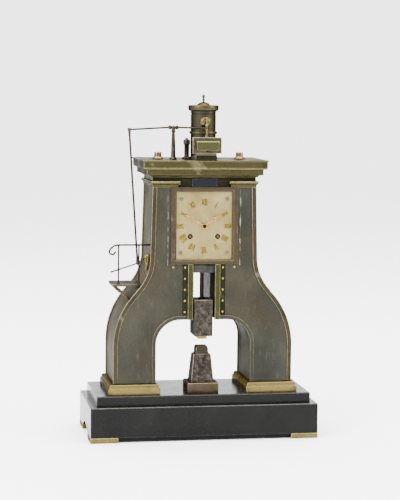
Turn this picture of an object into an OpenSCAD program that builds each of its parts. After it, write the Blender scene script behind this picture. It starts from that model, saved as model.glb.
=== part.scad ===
// Steam-hammer mantel clock with a working hammer, valve gear, hands and movement.
// X runs left to right, Y from the dial (-Y) to the back door (+Y), Z up from the feet.

/* [Base] */
// Length of the marble base, left to right
base_len = 285; // [275:1:300]
// Depth of the marble base, front to back
base_depth = 126; // [122:1:140]
// Height of the brass corner feet
foot_h = 6.5; // [5:0.5:8]
// Top of the lower marble block above the floor
block_top = 44; // [42:1:46]
// Top of the upper marble step above the floor
step_top = 56.5; // [54:0.5:60]

/* [Case] */
// Half width of the case across the foot of the legs
leg_out = 112.5; // [110:0.5:114]
// Half width of the arch between the legs
arch_half = 59.4; // [56:0.2:62]
// Height of the flat top of the arch
arch_top = 148.4; // [146:0.2:152]
// Half depth of the case panels
case_half_d = 40; // [38:0.5:42]
// Top of the leg plinths
plinth_top = 69.3; // [67:0.1:71]
// Underside of the capitals
capital_z = 312.7; // [312.6:0.1:313.5]
// Width of the brass border along the outer edge
rim_w = 5.5; // [4:0.5:7]
// Width of the border along the arch
arch_rim_w = 4.8; // [3.6:0.4:6]

/* [Hammer] */
// Width of the hammer ram
ram_w = 23; // [20:0.5:24]
// Underside of the ram above the floor, hammer raised as it stands
ram_bottom = 127.3; // [126:0.1:130]
// Top of the ram above the floor
ram_top = 172.8; // [165:0.1:175]
// Distance from the middle of the case forward to the hammer's axis
hammer_fwd = 25; // [24:0.5:26]
// Radius of the piston rod
rod_r = 2.5; // [2:0.1:3]

/* [Dial] */
// Width of the silvered dial plate
dial_w = 70; // [66:1:72]
// Height of the hands' centre above the floor
hands_z = 264.5; // [264:0.1:265]
// Length of the minute hand from its centre
minute_len = 29.5; // [26:0.5:31]
// Length of the hour hand from its centre
hour_len = 22.5; // [18:0.5:24]
// Radius of the ring of numerals
numeral_r = 29.9; // [28:0.1:30]

/* [Valve gear] */
// Height of the rocking beam's pivot
beam_z = 385.5; // [384:0.5:388]
// Radius of the steam cylinder
cylinder_r = 15.6; // [14:0.2:16]

/* [Hidden] */
$fn = 64;

sheet = 2;                      // thickness of the case panels
far = 500;                      // longer than any cut needs
skin_t = 1.6;                   // thickness of the bent side sheets
skin_in = 1.2;                  // how far the bent sheets sit inside the rims
rim_proud = 1.2;                // how far the rims stand in front of the panels
arc_steps = 12;                 // straight pieces in each bent stretch of the case

wall_t = 14;                    // thickness of the lower block's walls
roof_t = 12;                    // thickness of the stone over its hollow
foot_len = 34;                  // side of each square foot
foot_proud = 0.3;               // how far the feet stand out from the stone
foot_gap = 0.2;                 // gap between a foot and the board under the stone
end_arch_r = 50.4;              // low arch in each end wall
end_arch_z = -35.4;             // height of that arch's centre

// Outer edge of one leg: upright, a bulge, a hollow, then a slight taper to the top
bulge_z = 115;
bulge_r = 97;
hollow_c = [126, 226];
hollow_r = 59;
case_top_x = 64.8;
// Arch between the legs
arch_r = 30.9;
arch_spring_z = arch_top - arch_r;
slot_half = 14;                 // half width of the through slot that the ram works in
slot_top = 206.5;               // ceiling of the slot
dial_open_half = 37;            // half width of the opening behind the dial and the door
dial_open_z = 217.5;            // lower edge of that opening

// Cornice, neck and capitals
neck_half = [64.6, 38.5];
capital_top = 320.3;
cornice_z = 325;
cornice_top = 346;
cornice_half = [67.1, 40];
tie_pos = [52, 5];
tie_r = 2;

// Ranges that several parts share
rim_y = [-case_half_d - rim_proud, sheet - case_half_d];
skin_y = [sheet - case_half_d, case_half_d - sheet];
guide_x = [13.8, 20.2];
strip_end = 27.5;
pin_r = 0.8;                    // radius of the small pivot pins
eye_r = 1.4;                    // bore of the beam's eye, open round the rod's pin
arm_r = 0.95;                   // radius of the beam's arms

// Hammer axis, anvil and the lever that lifts the ram
hammer_y = -hammer_fwd;
ram_half_d = 16;
rib_half_w = 2;                 // half width of the ribs that guide the ram
rib_in = 3.6;                   // how far the ribs stand into the slot
rib_gap = 0.3;
gland_top = 215.8;
gland_y = [-38, -12];
anvil_gap = 9;                  // from the anvil's die up to the hammer's die
crosshead_z = 228;
crosshead_h = 3.6;              // half height of the crosshead
lift_mid = 6;                   // ram lift at which the lever lies level
lift_pivot = [36, 234];
lift_pin_r = 1.2;
lift_y = [-20.2, -18];
stud_r = 1.5;
fork_half = 3;                  // half height of the lever's fork
fork_end = 3.6;                 // how far the fork reaches past the crosshead's pin

// Movement
plate_half_w = 40;
plate_z = [226, 304];
front_plate_y = [-16, -14];
back_plate_y = [20, 22];
barrel_pos = [17.2, 251.6];
motion_d = 12;                  // centre distance of the wheels under the dial
third_pos = [-12.73, 277.23];
dial_z = [222.9, 307.3];
dial_y = [-38, -36.5];
minute_angle = 300;             // the hands show ten to two
hour_angle = 55;
numerals = ["I", "II", "III", "IIII", "V", "VI", "VII", "VIII", "IX", "X", "XI", "XII"];
numeral_h = 8;
cannon_r = 2.1;
winder_r = 1.9;
train_mod = 0.457;              // tooth size of the barrels and the centre pinion
barrel_dir = 180 + atan2(hands_z - barrel_pos[1], barrel_pos[0]);
bell_pivot = [33, 290];

// Back door
door_half = 41.5;
door_y = [40.3, 42.3];
door_z = [214, 311.5];
hinge_pos = [43.8, 43.3];
hinge_z = [238, 296];

// Cylinder and steam chest
dome_r = 8.7;
dome_h = 4;
dome_sphere = (dome_r * dome_r + dome_h * dome_h) / (2 * dome_h);
fitted_r = cylinder_r + 0.03;   // bore of what fits round the barrel
cap_top = 413.3;
chest_y = -52;
chest_z = [354.7, 374.3];

// Valve gear, all in one upright plane except the beam's right arm
gear_y = -18;
column_x = -36.2;
beam_end = [-91.2, 382.5];
rod_foot = [-80, 216.9];
lever_pivot = [-69.4, 224.6];
lever_tip = [-113.6, 206];
spindle_pos = [0, -49];
spindle_r = 0.9;

// Platform on the left leg
platform_x = [-112.5, -72.5];
platform_y = [-30, 11];
platform_z = [189.3, 192.3];
rail_y = -28.4;
rail_z = 240.8;
rail_r = 0.9;
post_x = [-105, -79.7];
bend_r = 12.5;                  // the rail bends down from its last post
bend_end = 150;
scroll_r = 3.6;                 // and curls into a scroll

function arc_points(c, r, a0, a1) =
    [for (i = [0:arc_steps]) let (a = a0 + (a1 - a0) * i / arc_steps) c + r * [cos(a), sin(a)]];

// Outer edge of the right leg, moved inward by inset, from the plinth to the capital
function outer_edge(inset) = concat(
    [[leg_out - inset, plinth_top]],
    arc_points([leg_out - bulge_r, bulge_z], bulge_r - inset, 0, 45),
    arc_points(hollow_c, hollow_r + inset, 225, 180),
    [[case_top_x - inset, capital_z]]);

// Edge of the arch on the right, moved into the metal by inset, from the plinth to the slot
function arch_edge(inset, end = slot_half) = concat(
    [[arch_half + inset, plinth_top]],
    arc_points([arch_half - arch_r, arch_spring_z], arch_r + inset, 0, 90),
    [[end, arch_top + inset]]);

function reversed(list) = [for (i = [len(list) - 1:-1:0]) list[i]];

// Band between two versions of the same edge
function band(edge, inner) = concat(edge, reversed(inner));

// Outline that mirrors a profile of [offset, height] points about the middle
function mirrored(half, profile) = concat(
    [for (p = profile) [half + p[0], p[1]]],
    [for (p = reversed(profile)) [-half - p[0], p[1]]]);

// Points of a straight-flanked gear with its first tooth at the given phase
function gear_points(teeth, mod, phase) = [
    for (i = [0:teeth - 1])
        for (p = [[-0.27, -0.95], [-0.12, 0.75], [0.12, 0.75], [0.27, -0.95]])
            let (a = phase + (i + p[0]) * 360 / teeth, r = mod * (teeth / 2 + p[1]))
                r * [cos(a), sin(a)]];

module along_y(y) translate([0, y[1], 0]) rotate([90, 0, 0]) linear_extrude(y[1] - y[0]) children();
module along_x(x) translate([x[0], 0, 0]) rotate([90, 0, 90]) linear_extrude(x[1] - x[0]) children();
module both_sides() { children(); mirror([1, 0, 0]) children(); }
module front_and_back() { children(); mirror([0, 1, 0]) children(); }
module box(x, y, z) translate([x[0], y[0], z[0]]) cube([x[1] - x[0], y[1] - y[0], z[1] - z[0]]);
module rod_y(pos, r, y) translate([pos[0], y[1], pos[1]]) rotate([90, 0, 0]) cylinder(r = r, h = y[1] - y[0]);
module ball(pos, r) translate(pos) sphere(r = r);

// Round bar from point a to point b
module bar(a, b, r) {
    d = b - a;
    translate(a)
        rotate([0, acos(d[2] / norm(d)), atan2(d[1], d[0])])
            cylinder(r = r, h = norm(d));
}

// Rectangular block with the same moulded profile on all four sides
module moulding(half, profile) intersection() {
    along_y([-far / 2, far / 2]) polygon(mirrored(half[0], profile));
    along_x([-far / 2, far / 2]) polygon(mirrored(half[1], profile));
}

module gear(pos, teeth, mod, phase, y)
    translate([pos[0], 0, pos[1]]) along_y(y) polygon(gear_points(teeth, mod, phase));

// Rounded head on the face at y, pointing forward
module dome_head(pos, r, y) intersection() {
    ball([pos[0], y + r * 0.6, pos[1]], r * 1.17);
    box([pos[0] - r, pos[0] + r], [y - 2 * r, y], [pos[1] - r, pos[1] + r]);
}

module base_block() color("#2b2a28") difference() {
    moulding([base_len / 2, base_depth / 2],
        [[0, foot_h], [0, block_top - 1.2], [-1.2, block_top]]);
    box([wall_t - base_len / 2, base_len / 2 - wall_t], [wall_t - base_depth / 2, base_depth / 2 - wall_t],
        [0, block_top - roof_t]);
    translate([0, 0, end_arch_z]) along_x([-far, far]) circle(r = end_arch_r, $fn = 160);
}

module base_board() color("#141414") difference() {
    box([4 - base_len / 2, base_len / 2 - 4], [3 - base_depth / 2, base_depth / 2 - 3], [1.5, foot_h]);
    both_sides() front_and_back()
        box([base_len / 2 - foot_len - foot_gap, far], [base_depth / 2 - foot_len - foot_gap, far], [0, far]);
}

module base_feet() color("#b59a55") both_sides() front_and_back()
    box([base_len / 2 - foot_len, base_len / 2 + foot_proud],
        [base_depth / 2 - foot_len, base_depth / 2 + foot_proud], [0, foot_h]);

module base_step() color("#343330")
    moulding([base_len / 2 - 8.3, base_depth / 2 - 8.4],
        [[0, block_top], [0, step_top - 0.8], [-0.8, step_top]]);

module leg_plinths() color("#a08d4e") both_sides() translate([86.4, 0, 0])
    moulding([32.3, case_half_d + 7], [
        [0, step_top], [0, 63.8], [-1.6, 64.3], [-1.6, 65.6], [-1.9, 66.8],
        [-2.8, 67.9], [-4.1, 68.7], [-5.3, plinth_top]]);

// One side panel, drawn on the right
module half_panel() polygon(concat(
    arch_edge(arch_rim_w),
    [[slot_half, dial_open_z], [dial_open_half, dial_open_z], [dial_open_half, capital_z]],
    reversed(outer_edge(rim_w))));

module front_panels() color("#5d584c") both_sides() {
    along_y([-case_half_d, sheet - case_half_d]) half_panel();
    // raised strip that takes the rivets beside each guide
    box([guide_x[1], strip_end], [-case_half_d - 1, -case_half_d],
        [arch_top + arch_rim_w, dial_open_z]);
}

module back_panels() color("#5d584c") both_sides()
    along_y([case_half_d - sheet, case_half_d]) half_panel();

module side_rims() color("#8a7c48") both_sides() front_and_back()
    along_y(rim_y) polygon(band(outer_edge(0), outer_edge(rim_w)));

module arch_rims() color("#6a6656") both_sides() front_and_back()
    along_y(rim_y) polygon(band(arch_edge(0, guide_x[1]), arch_edge(arch_rim_w, guide_x[1])));

module side_skins() color("#6f6c62") both_sides()
    along_y(skin_y) polygon(band(outer_edge(skin_in), outer_edge(skin_in + skin_t)));

module arch_skins() color("#6f6c62") both_sides()
    along_y(skin_y) polygon(band(arch_edge(skin_in), arch_edge(skin_in + skin_t)));

// Walls and ceiling of the slot, with the rib on each wall that guides the ram
module slot_lining() color("#3d3b37") {
    both_sides() {
        box([slot_half, slot_half + sheet], skin_y, [arch_top + skin_in + skin_t, slot_top]);
        box([slot_half - rib_in, slot_half], [hammer_y - rib_half_w, hammer_y + rib_half_w],
            [arch_top + 0.6, slot_top]);
    }
    box([-dial_open_half, dial_open_half], [gland_y[1], skin_y[1]], [slot_top, slot_top + sheet]);
}

module tie_hole() both_sides() translate([tie_pos[0], tie_pos[1], 0]) cylinder(r = tie_r + 0.05, h = far);

module capitals() color("#9b8b4b") difference() {
    both_sides() translate([49.1, 0, 0]) moulding([16.1, 41.2], [
        [0, capital_z], [0, 315.2], [0.8, 316.2], [2.2, 316.8], [2.2, capital_top]]);
    tie_hole();
}

module neck() color("#2a2826") {
    difference() {
        box([-neck_half[0], neck_half[0]], [-neck_half[1], neck_half[1]], [capital_top, cornice_z]);
        box([-58, 58], [-32, 32], [0, far]);
    }
    // frieze between the capitals with a plain name panel's backing in front
    front_and_back() box([-30.4, 30.4], [-neck_half[1], 2 - neck_half[1]], [capital_z, capital_top]);
    box([-15.4, 15.4], [-neck_half[1] - 1.6, -neck_half[1]], [313.2, 323.2]);
}

module cornice() color("#7d7443") difference() {
    moulding(cornice_half, [
        [0, cornice_z], [0, 325.5], [0.9, 326.4], [2.8, 327.2], [5.6, 327.7], [5.6, 334.6],
        [9.6, 335], [9.6, 336.2], [10, 336.6], [10, 344.6], [11.5, 344.9], [11.5, cornice_top]]);
    box([-60, 60], [-34, 34], [0, cornice_top - 5]);
    tie_hole();
}

// Hexagon nuts on flared washers, with the tops of the rods that they hold
module tie_bolts() color("#8f7d4a") both_sides() translate([tie_pos[0], tie_pos[1], 0]) {
    translate([0, 0, cornice_top]) difference() {
        union() {
            rotate_extrude() polygon([[0, 0], [7.2, 0], [7.2, 1], [6, 1.6], [5.2, 3.2], [0, 3.2]]);
            translate([0, 0, 3.2]) cylinder(r = 4.8, h = 5.2, $fn = 6);
        }
        translate([0, 0, -1]) cylinder(r = tie_r, h = 7);
    }
    translate([0, 0, 300]) cylinder(r = tie_r, h = cornice_top + 6 - 300);
}

module at_cylinder() translate([0, hammer_y, 0]) children();

module cylinder_barrel() color("#4a473f") at_cylinder() rotate_extrude() polygon([
    [11.5, cornice_top], [17.4, cornice_top], [17.4, 349], [cylinder_r, 350],
    [cylinder_r, 406], [11.5, 406]]);

// Cap, dome, finial, belt ring and the round boss on the cylinder's front
module cylinder_fittings() color("#9a8a58") {
    at_cylinder() {
        rotate_extrude() polygon([[0, 406], [17.4, 406], [18.2, 407], [18.9, 407.8], [18.9, cap_top - 0.8],
            [18.3, cap_top], [0, cap_top]]);
        intersection() {
            ball([0, 0, cap_top + dome_h - dome_sphere], dome_sphere);
            translate([0, 0, cap_top]) cylinder(r = dome_r + 1, h = dome_h + 1);
        }
        translate([0, 0, cap_top + dome_h - 1]) cylinder(r = 1.2, h = 8.4);
        ball([0, 0, 420.4], 1.7);
        ball([0, 0, 424.4], 2);
        difference() {
            translate([0, 0, 377.9]) cylinder(r = 17.4, h = 3.2);
            cylinder(r = fitted_r, h = far);
        }
    }
    difference() {
        translate([0, hammer_y - cylinder_r + 4, 393]) rotate([90, 0, 0]) rotate_extrude()
            polygon([[0, 0], [7.4, 0], [7.4, 5], [6.6, 5.8], [3, 7], [2, 7.2], [2, 8.4], [0, 8.4]]);
        at_cylinder() cylinder(r = fitted_r, h = far);
    }
}

// Chest on the cylinder's front, with its foot, front flange and the spindle's gland
module steam_chest() color("#85857c") difference() {
    union() {
        box([-13, 13], [chest_y, hammer_y - 8], [cornice_top, 352.6]);
        box([-12.4, 12.4], [chest_y, hammer_y - 8], [352.6, chest_z[1] - 1]);
        box([-18, 18], [chest_y - 2.2, chest_y], chest_z);
        translate([spindle_pos[0], spindle_pos[1], chest_z[1] - 1])
            cylinder(r1 = 3, r2 = 1.7, h = 4.8);
    }
    at_cylinder() cylinder(r = 17.5, h = 351);
    at_cylinder() cylinder(r = fitted_r, h = far);
    translate([spindle_pos[0], spindle_pos[1], 362]) cylinder(r = spindle_r + 0.08, h = 30);
}

// Bevelled cover and the bolts round the flange
module chest_cover() color("#8d8550") {
    along_y([chest_y - 8, chest_y - 2.2]) polygon([[-13.9, 370.1], [-13.9, 360.4],
        [-11.4, 358.4], [11.4, 358.4], [13.9, 360.4], [13.9, 370.1]]);
    both_sides() for (z = [356.6, 364.5, 372.4]) rod_y([15.9, z], 1, [chest_y - 3.6, chest_y - 2.2]);
    for (z = [356.5, 372.2]) rod_y([0, z], 1, [chest_y - 3.6, chest_y - 2.2]);
}

module steam_pipe() color("#4b3a2c") translate([-15.6, 4, cornice_top]) rotate_extrude() polygon([
    [0, 0], [6.4, 0], [6.4, 1.4], [5.2, 2.4], [3.2, 2.8], [3.2, 17.4], [4.4, 18.1], [4.4, 22.9],
    [3.6, 23.9], [2, 24.1], [2, 25.9], [0, 25.9]]);

// Tapered column with a forked head and the beam's pivot pin
module valve_column() color("#6a5842") translate([column_x, gear_y, 0]) {
    rotate_extrude() polygon([[0, cornice_top], [4.6, cornice_top], [4.6, 347.2], [3.4, 348.6],
        [2.9, 350.5], [1.9, 379.4], [2.6, 380.2], [2.6, 381.2], [0, 381.2]]);
    box([-1.9, 1.9], [-3.6, 3.6], [381.2, 382.4]);
    front_and_back() {
        box([-1.9, 1.9], [2.7, 3.6], [382.4, beam_z]);
        rod_y([0, beam_z], 1.9, [2.7, 3.6]);
    }
    rod_y([0, beam_z], pin_r, [-4, 4]);
}

// Rocking beam: a hub between two balls, an arm to the pull rod and an arm to the spindle
module valve_beam() color("#7a6a4e") {
    hub = [column_x, gear_y, beam_z];
    ball_off = [4.4, 0, 0];
    rod_end = [beam_end[0], gear_y, beam_end[1]];
    eye = [spindle_pos[0], spindle_pos[1], beam_z];
    reach = (eye - hub - ball_off) / norm(eye - hub - ball_off);
    difference() {
        union() {
            ball(hub - ball_off, 2.55);
            ball(hub + ball_off, 2.55);
            bar(hub - ball_off, hub + ball_off, 1.7);
            rod_y([column_x, beam_z], 2.2, [gear_y - 2.3, gear_y + 2.3]);
        }
        rod_y([column_x, beam_z], pin_r + 0.05, [gear_y - 5, gear_y + 5]);
    }
    bar(hub - ball_off, rod_end + [2, 0, 0.1], arm_r);
    difference() {
        rod_y(beam_end, 2.3, [gear_y - 0.9, gear_y + 0.9]);
        rod_y(beam_end, eye_r, [gear_y - 2, gear_y + 2]);
    }
    bar(hub + ball_off, eye - 2 * reach, arm_r);
    translate(eye - [0, 0, 0.6]) difference() {
        cylinder(r = 2.5, h = 1.2);
        translate([0, 0, -1]) cylinder(r = eye_r + 0.2, h = 3);
    }
}

// Valve spindle with collars above and below the beam's eye
module valve_spindle() color("#b9ad86") translate([spindle_pos[0], spindle_pos[1], 0]) {
    translate([0, 0, 364.5]) cylinder(r = spindle_r, h = 33);
    translate([0, 0, beam_z - 2.3]) cylinder(r = 1.8, h = 1.3);
    ball([0, 0, beam_z + 3.1], 2.1);
    ball([0, 0, 397.5], 1.5);
}

// Two cheeks of a fork, open towards +Z, with the fork's pin at the origin
module fork(hole_r) {
    difference() {
        front_and_back() union() {
            rod_y([0, 0], 2.1, [1.25, 2.05]);
            box([-1.6, 1.6], [1.25, 2.05], [-5.2, 0]);
        }
        if (hole_r > 0) rod_y([0, 0], hole_r, [-3, 3]);
    }
    box([-1.6, 1.6], [-2.05, 2.05], [-5.2, -4]);
}

// Long rod from the hand lever up to the beam
module pull_rod() color("#5f5343") {
    span = [beam_end[0] - rod_foot[0], beam_end[1] - rod_foot[1]];
    translate([rod_foot[0], gear_y, rod_foot[1]]) rotate([0, atan2(span[0], span[1]), 0]) {
        rotate([0, 180, 0]) fork(pin_r + 0.05);
        translate([0, 0, 4.6]) cylinder(r = 1.1, h = norm(span) - 9.2);
        translate([0, 0, norm(span)]) {
            fork(0);
            rod_y([0, 0], pin_r, [-2.05, 2.05]);
        }
    }
}

// Bent hand lever with the pull rod's pin
module hand_lever() color("#6d5f4a") {
    pivot = [lever_pivot[0], gear_y, lever_pivot[1]];
    joint = [rod_foot[0], gear_y, rod_foot[1]];
    tip = [lever_tip[0], gear_y, lever_tip[1]];
    grip = joint + 0.7 * (tip - joint);
    difference() {
        union() {
            rod_y(lever_pivot, 1.9, [gear_y - 1, gear_y + 1]);
            bar(pivot, joint, 0.9);
        }
        rod_y(lever_pivot, pin_r + 0.05, [gear_y - 3, gear_y + 3]);
    }
    ball(joint, 1.1);
    bar(joint, grip, 0.9);
    bar(grip, tip, 1.2);
    rod_y(rod_foot, pin_r, [gear_y - 2.5, gear_y + 2.5]);
}

// Solid filling of the case inside its bent sheets
module inside_case() both_sides() along_y([-far, far])
    polygon(concat(outer_edge(skin_in), [[0, capital_z], [0, plinth_top]]));

// Bracket on the leg with the hand lever's pivot pin
module lever_bracket() color("#a5823f") {
    difference() {
        union() {
            for (y = [gear_y - 2.4, gear_y + 1.4]) along_y([y, y + 1])
                polygon([[-66, 209.5], [-64, 227.6], [-68.6, 227.2], [-71.2, 225.4], [-71.2, 223.6]]);
            along_y([gear_y - 5, gear_y + 5])
                polygon([[-66, 209], [-64, 228], [-66.7, 228], [-68.9, 209]]);
        }
        inside_case();
    }
    rod_y(lever_pivot, pin_r, [gear_y - 2.9, gear_y + 2.9]);
}

module platform() color("#77766f") difference() {
    box(platform_x, platform_y, platform_z);
    inside_case();
}

module platform_brackets() color("#6b5f42") difference() {
    for (y = [platform_y[0] + 1, platform_y[1] - 3]) along_y([y, y + 2])
        polygon([[-111.5, platform_z[0]], [-100.5, 180.6], [-91, 171.2],
            [-89.5, 173.5], [-99.4, 183.2], [-106.5, platform_z[0]]]);
    inside_case();
}

// Round bar bent to an arc in the railing's plane
module bent_bar(c, bend_r, a0, a1, r) translate([c[0], rail_y, c[1]]) rotate([90, 0, 0]) rotate([0, 0, a0])
    rotate_extrude(angle = a1 - a0) translate([bend_r, 0]) circle(r = r);

module railing() color("#8a8266") {
    bend = [post_x[0], rail_z - bend_r];
    scroll = bend + (bend_r - scroll_r) * [cos(bend_end), sin(bend_end)];
    for (x = post_x) translate([x, rail_y, platform_z[1]])
        cylinder(r = rail_r - 0.1, h = rail_z - platform_z[1]);
    difference() {
        bar([post_x[0], rail_y, rail_z], [-60, rail_y, rail_z], rail_r);
        inside_case();
    }
    bent_bar(bend, bend_r, 90, bend_end, rail_r);
    bent_bar(scroll, scroll_r, bend_end, 345, rail_r);
    ball([scroll[0] + scroll_r * cos(345), rail_y, scroll[1] + scroll_r * sin(345)], 1.4);
}

// Brass guide bars either side of the slot
module guides() color("#7d7a3c") both_sides()
    box(guide_x, [-case_half_d - 3.2, -case_half_d], [arch_top, dial_open_z]);

module guide_rivets() color("#b5a263") both_sides() {
    for (i = [0:4]) dome_head([23.7, 158.1 + 13.8 * i], 1.5, -case_half_d - 1);
    dome_head([38.4, 213.6], 1.6, -case_half_d);
}

// Block under the dial that the piston rod slides through
module gland_block() color("#4b4a48") difference() {
    box([-24, 24], gland_y, [slot_top, gland_top]);
    translate([0, hammer_y, 0]) cylinder(r = rod_r + 0.08, h = far);
}

module ram() color("#5a534d") difference() {
    at_cylinder() moulding([ram_w / 2, ram_half_d], [
        [-0.9, ram_bottom], [0, ram_bottom + 1.1], [0, ram_top - 0.6], [-0.6, ram_top]]);
    both_sides() box([slot_half - rib_in - rib_gap, far],
        [hammer_y - rib_half_w - rib_gap, hammer_y + rib_half_w + rib_gap], [0, far]);
}

module ram_die() color("#b98f45") at_cylinder()
    moulding([5.7, 9], [[-0.5, ram_bottom - 4.3], [0, ram_bottom - 3.8], [0, ram_bottom]]);

// Rod with the crosshead inside the case that the lift lever raises
module piston_rod() color("#8b8984") {
    at_cylinder() {
        translate([0, 0, ram_top]) cylinder(r = rod_r, h = crosshead_z - crosshead_h - ram_top);
        box([-4, 4], [-4, 4], [crosshead_z - crosshead_h, crosshead_z + crosshead_h]);
    }
    rod_y([0, crosshead_z], lift_pin_r, [hammer_y + 4, lift_y[1] + 0.8]);
}

// Forked lever that lifts the crosshead's pin
module lift_lever() color("#9b8a55") {
    reach = norm([lift_pivot[0], lift_mid]);
    tilt = atan2(lift_mid, lift_pivot[0]);
    translate([lift_pivot[0], 0, lift_pivot[1]]) along_y(lift_y) rotate(tilt) difference() {
        union() {
            circle(r = 4);
            translate([-reach - fork_end, -fork_half]) square([fork_end + 5, 2 * fork_half]);
            translate([-reach, -2.1]) square([reach + 11, 4.2]);
        }
        circle(r = stud_r + 0.06);
        translate([-reach - 5, -lift_pin_r - 0.5]) square([8, 2 * lift_pin_r + 1]);
    }
}

module anvil() color("#6b5a55") at_cylinder()
    moulding([14.3, 13], [[0, plinth_top], [-3.3, 103], [-3.9, 104]]);

module anvil_die() color("#6f6c5a") at_cylinder()
    moulding([7.9, 9], [[0, 104], [-0.3, 111.2], [-1.5, ram_bottom - 4.3 - anvil_gap]]);

module anvil_plinth() color("#8c7350") at_cylinder()
    moulding([19.5, 18.3], [[0, step_top], [0, plinth_top - 0.7], [-0.7, plinth_top]]);

// Frame in front of the case, with a lining that reaches back to the dial
module dial_frame() color("#7a6048") difference() {
    union() {
        box([-41.8, 41.8], [-case_half_d - 2, -case_half_d], [dial_open_z, capital_z - 0.2]);
        box([0.1 - dial_open_half, dial_open_half - 0.1], [-case_half_d, dial_y[0]],
            [dial_open_z, capital_z - 0.2]);
    }
    box([-dial_w / 2, dial_w / 2], [-far, far], dial_z);
}

module dial_plate() color("#cfc8b4") difference() {
    box([0.1 - dial_open_half, dial_open_half - 0.1], dial_y, [dial_open_z, capital_z - 0.2]);
    rod_y([0, hands_z], 3.2, [-far, far]);
    both_sides() rod_y(barrel_pos, 3.3, [-far, far]);
}

// Strokes of one numeral character, drawn upright about its middle
module stroke(character) {
    serif = [1.5, 0.5];
    if (character == "I") {
        square([1, numeral_h], center = true);
        for (y = [-1, 1]) translate([0, y * (numeral_h - serif[1]) / 2]) square(serif, center = true);
    } else {
        // a V's strokes meet at the foot, and an X's cross over
        foot = character == "V" ? 0.3 : -1.7;
        for (side = [-1, 1])
            polygon([[side * 1.7 - 0.45, numeral_h / 2], [side * 1.7 + 0.45, numeral_h / 2],
                [foot * side + 0.45, -numeral_h / 2], [foot * side - 0.45, -numeral_h / 2]]);
    }
}

function stroke_w(character) = character == "I" ? 1.75 : 4.3;
function width(word, n) = n == 0 ? 0 : stroke_w(word[n - 1]) + width(word, n - 1);

module dial_numerals() color("#c79a3a") translate([0, 0, hands_z]) along_y([dial_y[0] - 0.5, dial_y[0]])
    for (hour = [1:12]) rotate(-30 * hour) translate([0, numeral_r])
        for (i = [0:len(numerals[hour - 1]) - 1])
            translate([width(numerals[hour - 1], i) + (stroke_w(numerals[hour - 1][i])
                - width(numerals[hour - 1], len(numerals[hour - 1]))) / 2, 0])
                stroke(numerals[hour - 1][i]);

module dial_screws() color("#b8b3a6") both_sides() for (z = [231.8, 298.5]) difference() {
    rod_y([28.8, z], 2.3, [dial_y[0] - 1.3, dial_y[0]]);
    box([26, 32], [dial_y[0] - 2, dial_y[0] - 0.7], [z - 0.35, z + 0.35]);
}

// Pierced hand pointing up, with its hub at the origin
module hand_shape(length, eye_at, eye_r, hub_hole) difference() {
    union() {
        circle(r = 3.1);
        translate([-0.6, -5]) square([1.2, eye_at + 5]);
        translate([0, eye_at]) circle(r = eye_r);
        polygon([[-1.5, eye_at], [1.5, eye_at], [0.25, length], [-0.25, length]]);
    }
    circle(r = hub_hole);
    translate([0, eye_at]) circle(r = eye_r - 1);
}

module minute_hand() color("#c08a5a") translate([0, 0, hands_z]) along_y([-41.6, -41])
    rotate(-minute_angle) hand_shape(minute_len, 18.5, 2.3, cannon_r - 0.2);

module hour_hand() color("#c08a5a") translate([0, 0, hands_z]) along_y([-40.4, -39.9])
    rotate(-hour_angle) hand_shape(hour_len, 14, 2.8, cannon_r + 0.1);

// Centre arbor: hand nut, cannon and its pinion, centre wheel and the pinion the barrel drives
module center_arbor() color("#8c8577") {
    c = [0, hands_z];
    rod_y(c, 1.2, [-41.6, back_plate_y[1]]);
    rod_y(c, cannon_r - 0.2, [-41.6, -41]);
    rod_y(c, 2.3, [-43, -41.6]);
    rod_y(c, cannon_r, [-41, -18.4]);
    gear(c, 12, 0.5, 90, [-21, -18.4]);
    gear(c, 80, 0.4, 135, [-12, -10.6]);
    gear(c, 14, train_mod, barrel_dir, [-9, -6]);
}

module hour_wheel() color("#a8935a") {
    c = [0, hands_z];
    difference() {
        union() {
            rod_y(c, cannon_r + 0.7, [-39.9, -22.4]);
            gear(c, 40, 0.48, 90 + 4.5, [-24, -22.4]);
        }
        rod_y(c, cannon_r + 0.1, [-50, 0]);
    }
}

module minute_wheel() color("#a8935a") {
    c = [0, hands_z + motion_d];
    difference() {
        union() {
            gear(c, 36, 0.5, 270 + 5, [-21, -19.4]);
            gear(c, 10, 0.48, 270, [-24.4, -21]);
        }
        rod_y(c, 0.95, [-50, 0]);
    }
}

module third_wheel() color("#a8935a") {
    rod_y(third_pos, 0.8, [front_plate_y[0] + 0.4, back_plate_y[1] - 0.4]);
    gear(third_pos, 10, 0.4, 315 + 18, [-12.6, -10]);
    difference() {
        rod_y(third_pos, 9.2, [0, 1.3]);
        for (a = [0:72:359]) rod_y(third_pos + 5.4 * [cos(a), sin(a)], 2.1, [-1, 3]);
    }
}

// Plates, pillars, the posts in front and the balance's bearings on top
module movement_frame() color("#a08b50") {
    difference() {
        for (y = [front_plate_y, back_plate_y]) box([-plate_half_w, plate_half_w], y, plate_z);
        rod_y([0, hands_z], 1.28, [-30, 30]);
        both_sides() rod_y(barrel_pos, winder_r + 0.08, [-30, 30]);
        rod_y(third_pos, 0.86, [-30, 30]);
        rod_y(bell_pivot, 1.56, [-30, 30]);
    }
    both_sides() for (z = [231, 299]) rod_y([36, z], 2.4, [front_plate_y[1], back_plate_y[0]]);
    rod_y(lift_pivot, stud_r, [lift_y[0] - 1.4, front_plate_y[0]]);
    rod_y([0, hands_z + motion_d], 0.9, [-25, front_plate_y[0]]);
    difference() {
        union() {
            box([-16, 16], [-10, 14], [plate_z[1], plate_z[1] + 2]);
            box([-16, -11], [0, 6], [plate_z[1] + 2, 316]);
            box([-16, 3], [0, 6], [316, 318]);
        }
        translate([0, 3, 0]) cylinder(r = 0.76, h = far);
    }
}

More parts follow.
